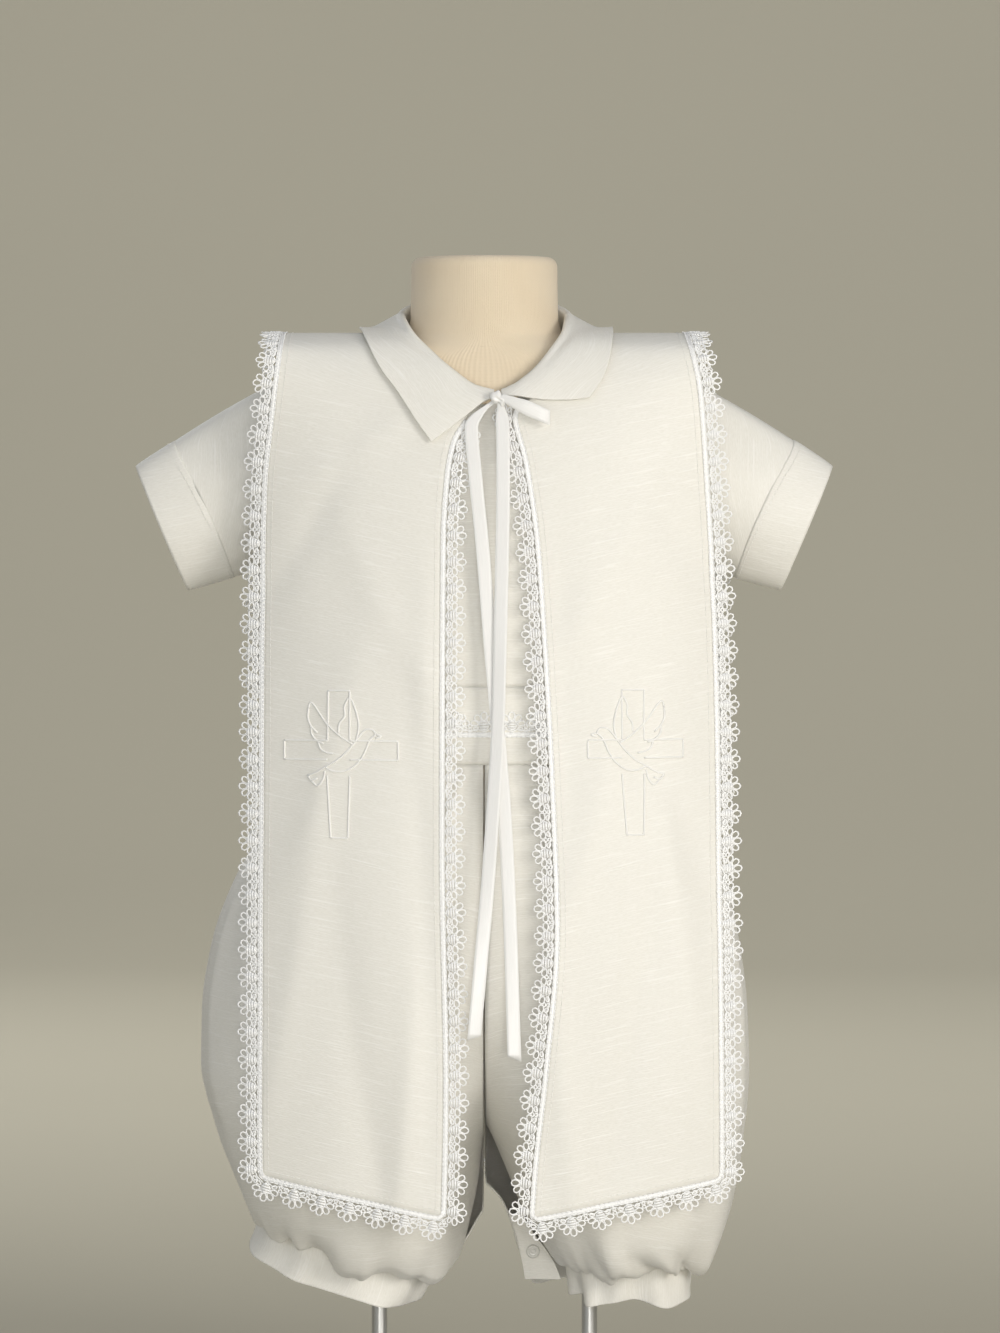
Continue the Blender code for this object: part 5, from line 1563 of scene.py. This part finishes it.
for side, phase in (("right", 0.4), ("left", 2.2)):
    middleAt = curveThrough(tailRows[side])
    z = np.linspace(tailRows[side][0][0], tailRows[side][-1][0], 150)
    x = middleAt(z)[:, 0]
    fallen = (z[0] - z) / (z[0] - z[-1])
    sway = 0.9 * np.sin(fallen * 11 + phase) * fallen
    path = nearTabardFront(x, z, ribbon["tailOut"][side] + 0.35 * np.sin(fallen * 7 + phase) * fallen)
    path[:, 0] += sway * 0.25
    twist = np.radians(16 * np.sin(fallen * 5.5 + phase) * fallen + (9 if side == "right" else -12) * fallen)
    aside = np.stack([np.cos(twist), np.sin(twist), np.zeros_like(z)], -1)
    cut = 1.3 if side == "right" else -1.1
    held = 0.5 + 0.5 * smoothSteps(z[0] - z, 2, 10)
    tail = ribbonStrip(f"ribbonTail_{side}", path, aside, ribbon["width"], ribbon["thick"], held, cut)
    settle(tail, "ribbon", f"ribbon_tail_{side}")
    length = float(np.linalg.norm(np.diff(path, axis=0), axis=1).sum()) * mm
    print(f"  {tail.name}: {length:.3f} m")

bow = {
    "start": (8.6, -61.2, 523.6), "along": (0.915, -0.03, -0.40),
    "acrossNear": (0.42, -0.10, 0.90), "acrossFar": (0.02, -0.05, 1.0),
}
# distance from the knot, and how far behind the start: out in front, a folded end, and back behind
loopShape = curveByRow([
    (0.0, -0.9), (5, -2.3), (13, -3.4), (21, -3.6), (25.2, -3.0), (26.6, -1.9), (26.2, -0.9),
    (24.0, -0.4), (16, -0.2), (8, 0.0), (1.0, 0.3),
])
loopPoints = loopShape(np.linspace(0, 10, 110))
path = np.array(bow["start"]) + loopPoints[:, :1] * np.array(bow["along"])
path[:, 1] += loopPoints[:, 1]
out = (loopPoints[:, :1] / 26.6).clip(0, 1) ** 1.5
aside = (1 - out) * np.array(bow["acrossNear"]) + out * np.array(bow["acrossFar"])
held = np.minimum(1.0, 0.45 + 0.04 * loopPoints[:, 0])
loop = ribbonStrip("ribbonLoop", path, aside, ribbon["width"] + 0.6, ribbon["thick"], held)
settle(loop, "ribbon", "ribbon_loop")

# the knot: a pulled ring of ribbon round the strands, with its folds
knot = {
    "middle": (7.4, -60.6, 522.8), "size": (4.6, 2.7, 3.6), "turn": 24, "pull": 0.30, "belly": 0.16,
    "weave": (0.03, 0.005),
}
bpy.ops.mesh.primitive_uv_sphere_add(segments=48, ring_count=24, radius=1)
knotPiece = bpy.context.object
knotPiece.name = "ribbonKnot"
knotWeave = knotPiece.data.uv_layers[0]
knotWeave.name = "weave"
for vertex in knotPiece.data.vertices:
    x, y, z = vertex.co
    pull = 1 - knot["pull"] * math.exp(-((x - 0.15) / 0.30) ** 2)
    groove = 0.10 * math.sin(9.0 * z + 2.2 * x) + 0.08 * math.sin(5.0 * x + 4.0 * z)
    spread = 1 + knot["belly"] * x * x + groove
    vertex.co = (x * 1.02, y * spread * pull, z * (spread * pull + 0.10 * x))
knotPiece.data.transform(
    Matrix.Translation(Vector(knot["middle"]) * mm)
    @ Matrix.Rotation(math.radians(knot["turn"]), 4, "Y")
    @ Matrix.Diagonal((*(s * mm for s in knot["size"]), 1.0))
)
for uvLoop in knotWeave.data:
    uvLoop.uv = (uvLoop.uv[0] * knot["weave"][0], (uvLoop.uv[1] - 0.5) * knot["weave"][1])
bpy.ops.object.shade_smooth()
knotPiece.data.materials.append(satin)
settle(knotPiece, "ribbon", "ribbon_knot")
print("ribbon made")

# the embroidered motifs: a plain cross in outline with a simple dove, stitched in satin cord

motif = {"cord": 0.55, "flat": 0.75, "lift": 0.15, "step": 0.8}
crossPlace = {
    # upright from and to, its foot from and to, top, foot, arms from and to, arms' top and foot
    "right": ((-78.0, -67.0), (-76.5, -68.0), 376.0, 302.5, (-100.5, -43.0), (351.0, 341.5)),
    "left": ((69.0, 80.5), (71.5, 80.0), 376.5, 304.0, (52.0, 100.0), (351.5, 342.5)),
}
doveLines = (
    # points as across and up from the crossing, with the head to the +X side
    ((-7, -9), (-1, -5.5), (5, 0), (10, 6.5), (13.5, 10.5), (17.5, 11), (19.5, 8.5)),
    ((-7, -9), (-3, -11), (3, -11), (9, -7.5), (13, -2), (15.5, 4), (17, 6.5), (19.5, 8.5)),
    ((19.5, 8.5), (22.5, 7.6), (19.2, 6.6)),
    ((7.5, 3), (0, 8), (-7, 14.5), (-13, 23), (-15.5, 25), (-16.5, 22)),
    ((-16.5, 22), (-16.8, 17), (-15, 12.5), (-11.5, 9)),
    ((-15, 12.5), (-14.5, 8), (-11, 4.5), (-8, 3.5)),
    ((-11, 4.5), (-9.5, 0.5), (-6, -1.5), (-2.5, -2)),
    ((9, 5), (10.5, 12), (9.5, 19), (7, 26), (5, 27.5)),
    ((5, 27.5), (3, 23), (3.2, 18), (0.5, 14), (0, 9)),
    ((-7, -9), (-12, -12), (-16.5, -13.5)),
    ((-16.5, -13.5), (-14.5, -16), (-11, -15)),
    ((-14.5, -16), (-11, -19), (-8, -15.5), (-7, -11)),
)


def flowingLine(points, step):
    # a smooth line through a few points, at even steps
    points = np.array(points, float)
    ends = np.concatenate([[2 * points[0] - points[1]], points, [2 * points[-1] - points[-2]]])
    line = []
    for a, b, c, d in zip(ends, ends[1:], ends[2:], ends[3:]):
        for t in np.linspace(0, 1, 12, endpoint=False):
            bend = (2 * a - 5 * b + 4 * c - d) * t ** 2 + (3 * b - a - 3 * c + d) * t ** 3
            line.append(0.5 * (2 * b + (c - a) * t + bend))
    line = np.array([*line, points[-1]])
    run = runAlong(line)
    return pointsAt(np.linspace(0, run[-1], max(3, int(run[-1] / step) + 1)), run, line)


def straightLine(start, end, step):
    count = max(3, int(math.dist(start, end) / step) + 1)
    return np.linspace(start, end, count)


def cordOnPanel(line, radius, flat, lift):
    # a cord along a line of places across and up, laid on the front of the tabard
    path = onTabard(line[:, 0], frontLength(line[:, 1]), lift)
    away = onTabard(line[:, 0], frontLength(line[:, 1]), lift + 1.0) - path
    return tubeParts(tubePoints(path, radius, 6, flat, up=away))


for side, (upright, foot, top, bottom, arms, band) in crossPlace.items():
    sign = sideSign[side]
    step = motif["step"]
    middle = (sum(upright) / 2, sum(band) / 2)
    lines = [
        straightLine((upright[0], top), (upright[1], top), step),
        straightLine((arms[0], band[0]), (arms[0], band[1]), step),
        straightLine((arms[1], band[0]), (arms[1], band[1]), step),
        straightLine((foot[0], bottom), (foot[1], bottom), step),
    ]
    for edge, end, outside in ((upright[0], foot[0], arms[0]), (upright[1], foot[1], arms[1])):
        lines.append(straightLine((edge, top), (edge, band[0]), step))
        lines.append(straightLine((edge, band[1] - 8), (end, bottom), step))
        lines.append(straightLine((outside, band[0]), (edge, band[0]), step))
        lines.append(straightLine((outside, band[1]), (edge, band[1]), step))
    for points in doveLines:
        placed = [(middle[0] - sign * 0.95 * x, middle[1] + 0.95 * z) for x, z in points]
        lines.append(flowingLine(placed, step))
    parts = [cordOnPanel(line, motif["cord"], motif["flat"], motif["lift"]) for line in lines]
    settle(joinParts(f"crossMotif_{side}", parts, satinCord), "shantung")
print("motifs made")

# sewing: each stitch is a short bit of thread that dips at its ends

sewing = {"length": 2.2, "gap": 0.7, "thread": 0.17, "hemInset": 3.6}


def stitchesAlong(path, away, length=sewing["length"], gap=sewing["gap"], thread=sewing["thread"]):
    run = runAlong(path)
    parts = []
    for begin in np.arange(0, run[-1] - length, length + gap):
        along = begin + np.array([0, 0.2, 0.8, 1.0]) * length
        up = unit(pointsAt(along, run, away))
        points = pointsAt(along, run, path) + up * np.array([-0.1, 0.1, 0.1, -0.1])[:, None]
        parts.append(tubeParts(tubePoints(points, thread, 4, 0.8, up=up)))
    return parts


hemStitches = []
for side in ("right", "left"):
    run, line, tangent = smoothRoute(edgeRoute(side)[0])
    turn = -1 if side == "right" else 1
    inset = -sewing["hemInset"] * turn
    x, length = line[:, 0] + inset * tangent[:, 1], line[:, 1] - inset * tangent[:, 0]
    on = onTabard(x, length, 0.05)
    hemStitches += stitchesAlong(on, onTabard(x, length, 1.05) - on)
settle(joinParts("hemStitches", hemStitches, sewingThread), "shantung")

bandStitches = []
waistTurn = np.linspace(0, 2 * math.pi, 900)
for height in (waistband["bottom"] + 2.2, waistband["top"] - 2.2):
    path = bodyPoint(height, waistTurn, 0.5)
    bandStitches += stitchesAlong(path, path * np.array([1, 1, 0]))
settle(joinParts("waistStitches", bandStitches, sewingThread), "shantung")

sleeveStitches = []
for side, sign in sideSign.items():
    ringTurn = np.linspace(0, 2 * math.pi, 400)
    ringShare = sleeve["seam"][0] + sleeve["seam"][1] * np.cos(ringTurn) + 0.022
    path = sleevePoints(sign, ringShare, ringTurn)
    away = unit(path - path.mean(0))
    sleeveStitches += stitchesAlong(path + away * 0.62, away)
settle(joinParts("sleeveStitches", sleeveStitches, sewingThread), "shantung")
print("sewing made")

# the flap in the left leg's open inseam, with its snap

snap = {"place": (25.0, 86.0), "face": -1.7}
flap = {
    # height, from, to
    "rows": ((105, 12.2, 19.5), (95, 16, 25.4), (87, 17.8, 31.5), (79, 19.6, 36.5), (71.5, 20.8, 39.5)),
    "depth": -1.7, "steps": (44, 30), "wall": 1.0, "flatRound": 18,
}
flapAt = curveThrough(flap["rows"])
flapGrid = []
for height in np.linspace(flap["rows"][-1][0], flap["rows"][0][0], flap["steps"][0]):
    begin, end = flapAt(height)
    share = np.linspace(0, 1, flap["steps"][1])
    soft = 0.35 * np.sin(share * 5.2 + height * 0.11) + 0.25 * np.sin(height * 0.31 + share * 2)
    x = begin + (end - begin) * share
    # the cloth lies flat round the snap
    fromSnap = (x - snap["place"][0]) ** 2 + (height - snap["place"][1]) ** 2
    depth = flap["depth"] + soft * (1 - np.exp(-fromSnap / flap["flatRound"]))
    flapGrid.append(np.stack([x, depth, np.full_like(x, height)], -1))
snapFlap = clothPiece("snapFlap", np.array(flapGrid), towards(0, -1, 0), flap["wall"])
roundEdges(snapFlap, 0.35, 2, 55)
settle(snapFlap, "shantung", "snap_flap_left")
asSheet(snapFlap, (0.019, 0.034))

snapRings = (
    # radius, how far it stands out from the flap
    (3.5, 0.3), (3.5, 1.15), (3.3, 1.55), (2.9, 1.8), (2.5, 1.8), (2.15, 1.55), (2.0, 0.9),
    (1.35, 0.85), (1.25, 1.35), (0.9, 1.6), (0.45, 1.68),
)
snapFoot = (snap["place"][0], snap["face"], snap["place"][1])
snapPiece = turnedPiece("pressSnap", snapRings, 40, snapFoot, False, 40)
snapPiece.data.materials.append(snapPlastic)
settle(snapPiece, "snap", "leg_snap")
print("snap made")

# the torso form

form = {
    "segments": 96, "bodyRows": 90, "neckRows": 61, "bottom": 188.0, "neckFoot": 535, "top": 596.0,
    "rounding": 5.0, "topRadius": 37, "coverRound": 0.24, "seamHeight": 550.6,
}
angles = np.linspace(0, 2 * math.pi, form["segments"], endpoint=False)
heights = np.concatenate([
    np.linspace(form["bottom"], form["neckFoot"], form["bodyRows"]),
    np.linspace(form["neckFoot"], form["top"] - form["rounding"], form["neckRows"])[1:],
])
rings = []
for height in heights:
    x, y = roundSection(*formAt(height), angles)
    rings.append(np.stack([x, y, np.full_like(x, height)], -1))
topRing = rings[-1]
for quarter in np.linspace(0, math.pi / 2, 9)[1:]:
    inset = 1 - (1 - math.cos(quarter)) * form["rounding"] / form["topRadius"]
    raised = np.array([0, 0, form["rounding"] * math.sin(quarter)])
    rings.append(topRing * np.array([inset, inset, 1]) + raised)
for share in (0.75, 0.45, 0.15):
    rings.append(topRing * np.array([share, share, 0]) + np.array([0, 0, form["top"]]))
formRings = np.array(rings)
grid = np.concatenate([formRings, formRings[:, :1]], 1)
turnLength = np.linspace(0, form["coverRound"], grid.shape[1])
formWeave = np.stack([np.broadcast_to(turnLength, grid.shape[:2]), weaveOf(grid)[..., 1]], -1).reshape(-1, 2)
points = grid.reshape(-1, 3)
number = np.arange(len(points)).reshape(grid.shape[:2])
faces = [tuple(face) for face in facedOut(points, gridFaces(*grid.shape[:2]), awayFrom(0, 0))]
faces += [tuple(number[-1, :-1]), tuple(number[0, :-1][::-1])]
loopWeave = [tuple(formWeave[v]) for face in faces for v in face]
torso = buildMesh("formTorso", points, faces, loopWeave, jersey)
weldPiece(torso)
openEdit(torso)
closeEdit()
bpy.ops.object.shade_smooth_by_angle(angle=math.radians(60))
settle(torso, "form_cover", "form_torso")

# the cover's neck seam, sewn with a dashed line of tan thread
seamTurn = np.linspace(0, 2 * math.pi, 600)
x, y = roundSection(*formAt(form["seamHeight"]), seamTurn)
neckSeam = np.stack([x, y, form["seamHeight"] - 1.2 * np.abs(np.sin(seamTurn)) ** 3], -1)
away = unit(neckSeam * np.array([1, 1, 0]))
neckStitches = stitchesAlong(neckSeam + away * 0.1, away, 2.6, 2.2, 0.22)
settle(joinParts("neckStitches", neckStitches, tanThread), "form_cover")
print("form made")

# stand: two turned rods on a plate

stand = {"baseHalf": (118.0, 104.0), "baseTop": 8.0, "softEdge": 1.4, "rodX": 54.0, "squareness": 0.62}
rodProfile = (
    # radius, height
    (13.0, 8.3), (13.0, 10.6), (12.4, 11.5), (6.0, 12.6), (4.0, 13.5), (4.0, 182.0), (12.0, 184.5),
    (12.0, 187.7),
)
for side, sign in sideSign.items():
    rod = turnedPiece(f"standRod_{side}", rodProfile, 48, (sign * stand["rodX"], 0, 0), True, 35)
    rod.data.materials.append(steel)
    settle(rod, "stand_metal", f"stand_rod_{side}")

bpy.ops.mesh.primitive_circle_add(vertices=160, radius=1, location=(0, 0, 0), fill_type="NGON")
base = bpy.context.object
base.name = "standBase"
for vertex in base.data.vertices:
    c, s = vertex.co.x, vertex.co.y
    vertex.co.x = stand["baseHalf"][0] * mm * math.copysign(abs(c) ** stand["squareness"], c)
    vertex.co.y = stand["baseHalf"][1] * mm * math.copysign(abs(s) ** stand["squareness"], s)
bpy.ops.object.mode_set(mode="EDIT")
bpy.ops.mesh.select_all(action="SELECT")
bpy.ops.mesh.extrude_region_move(TRANSFORM_OT_translate={"value": (0, 0, stand["baseTop"] * mm)})
closeEdit()
roundEdges(base, stand["softEdge"], 4, 50)
bpy.ops.object.modifier_apply(modifier="softEdge")
bpy.ops.object.shade_smooth_by_angle(angle=math.radians(35))
base.data.materials.append(steel)
settle(base, "stand_metal", "stand_base")
print("stand made")
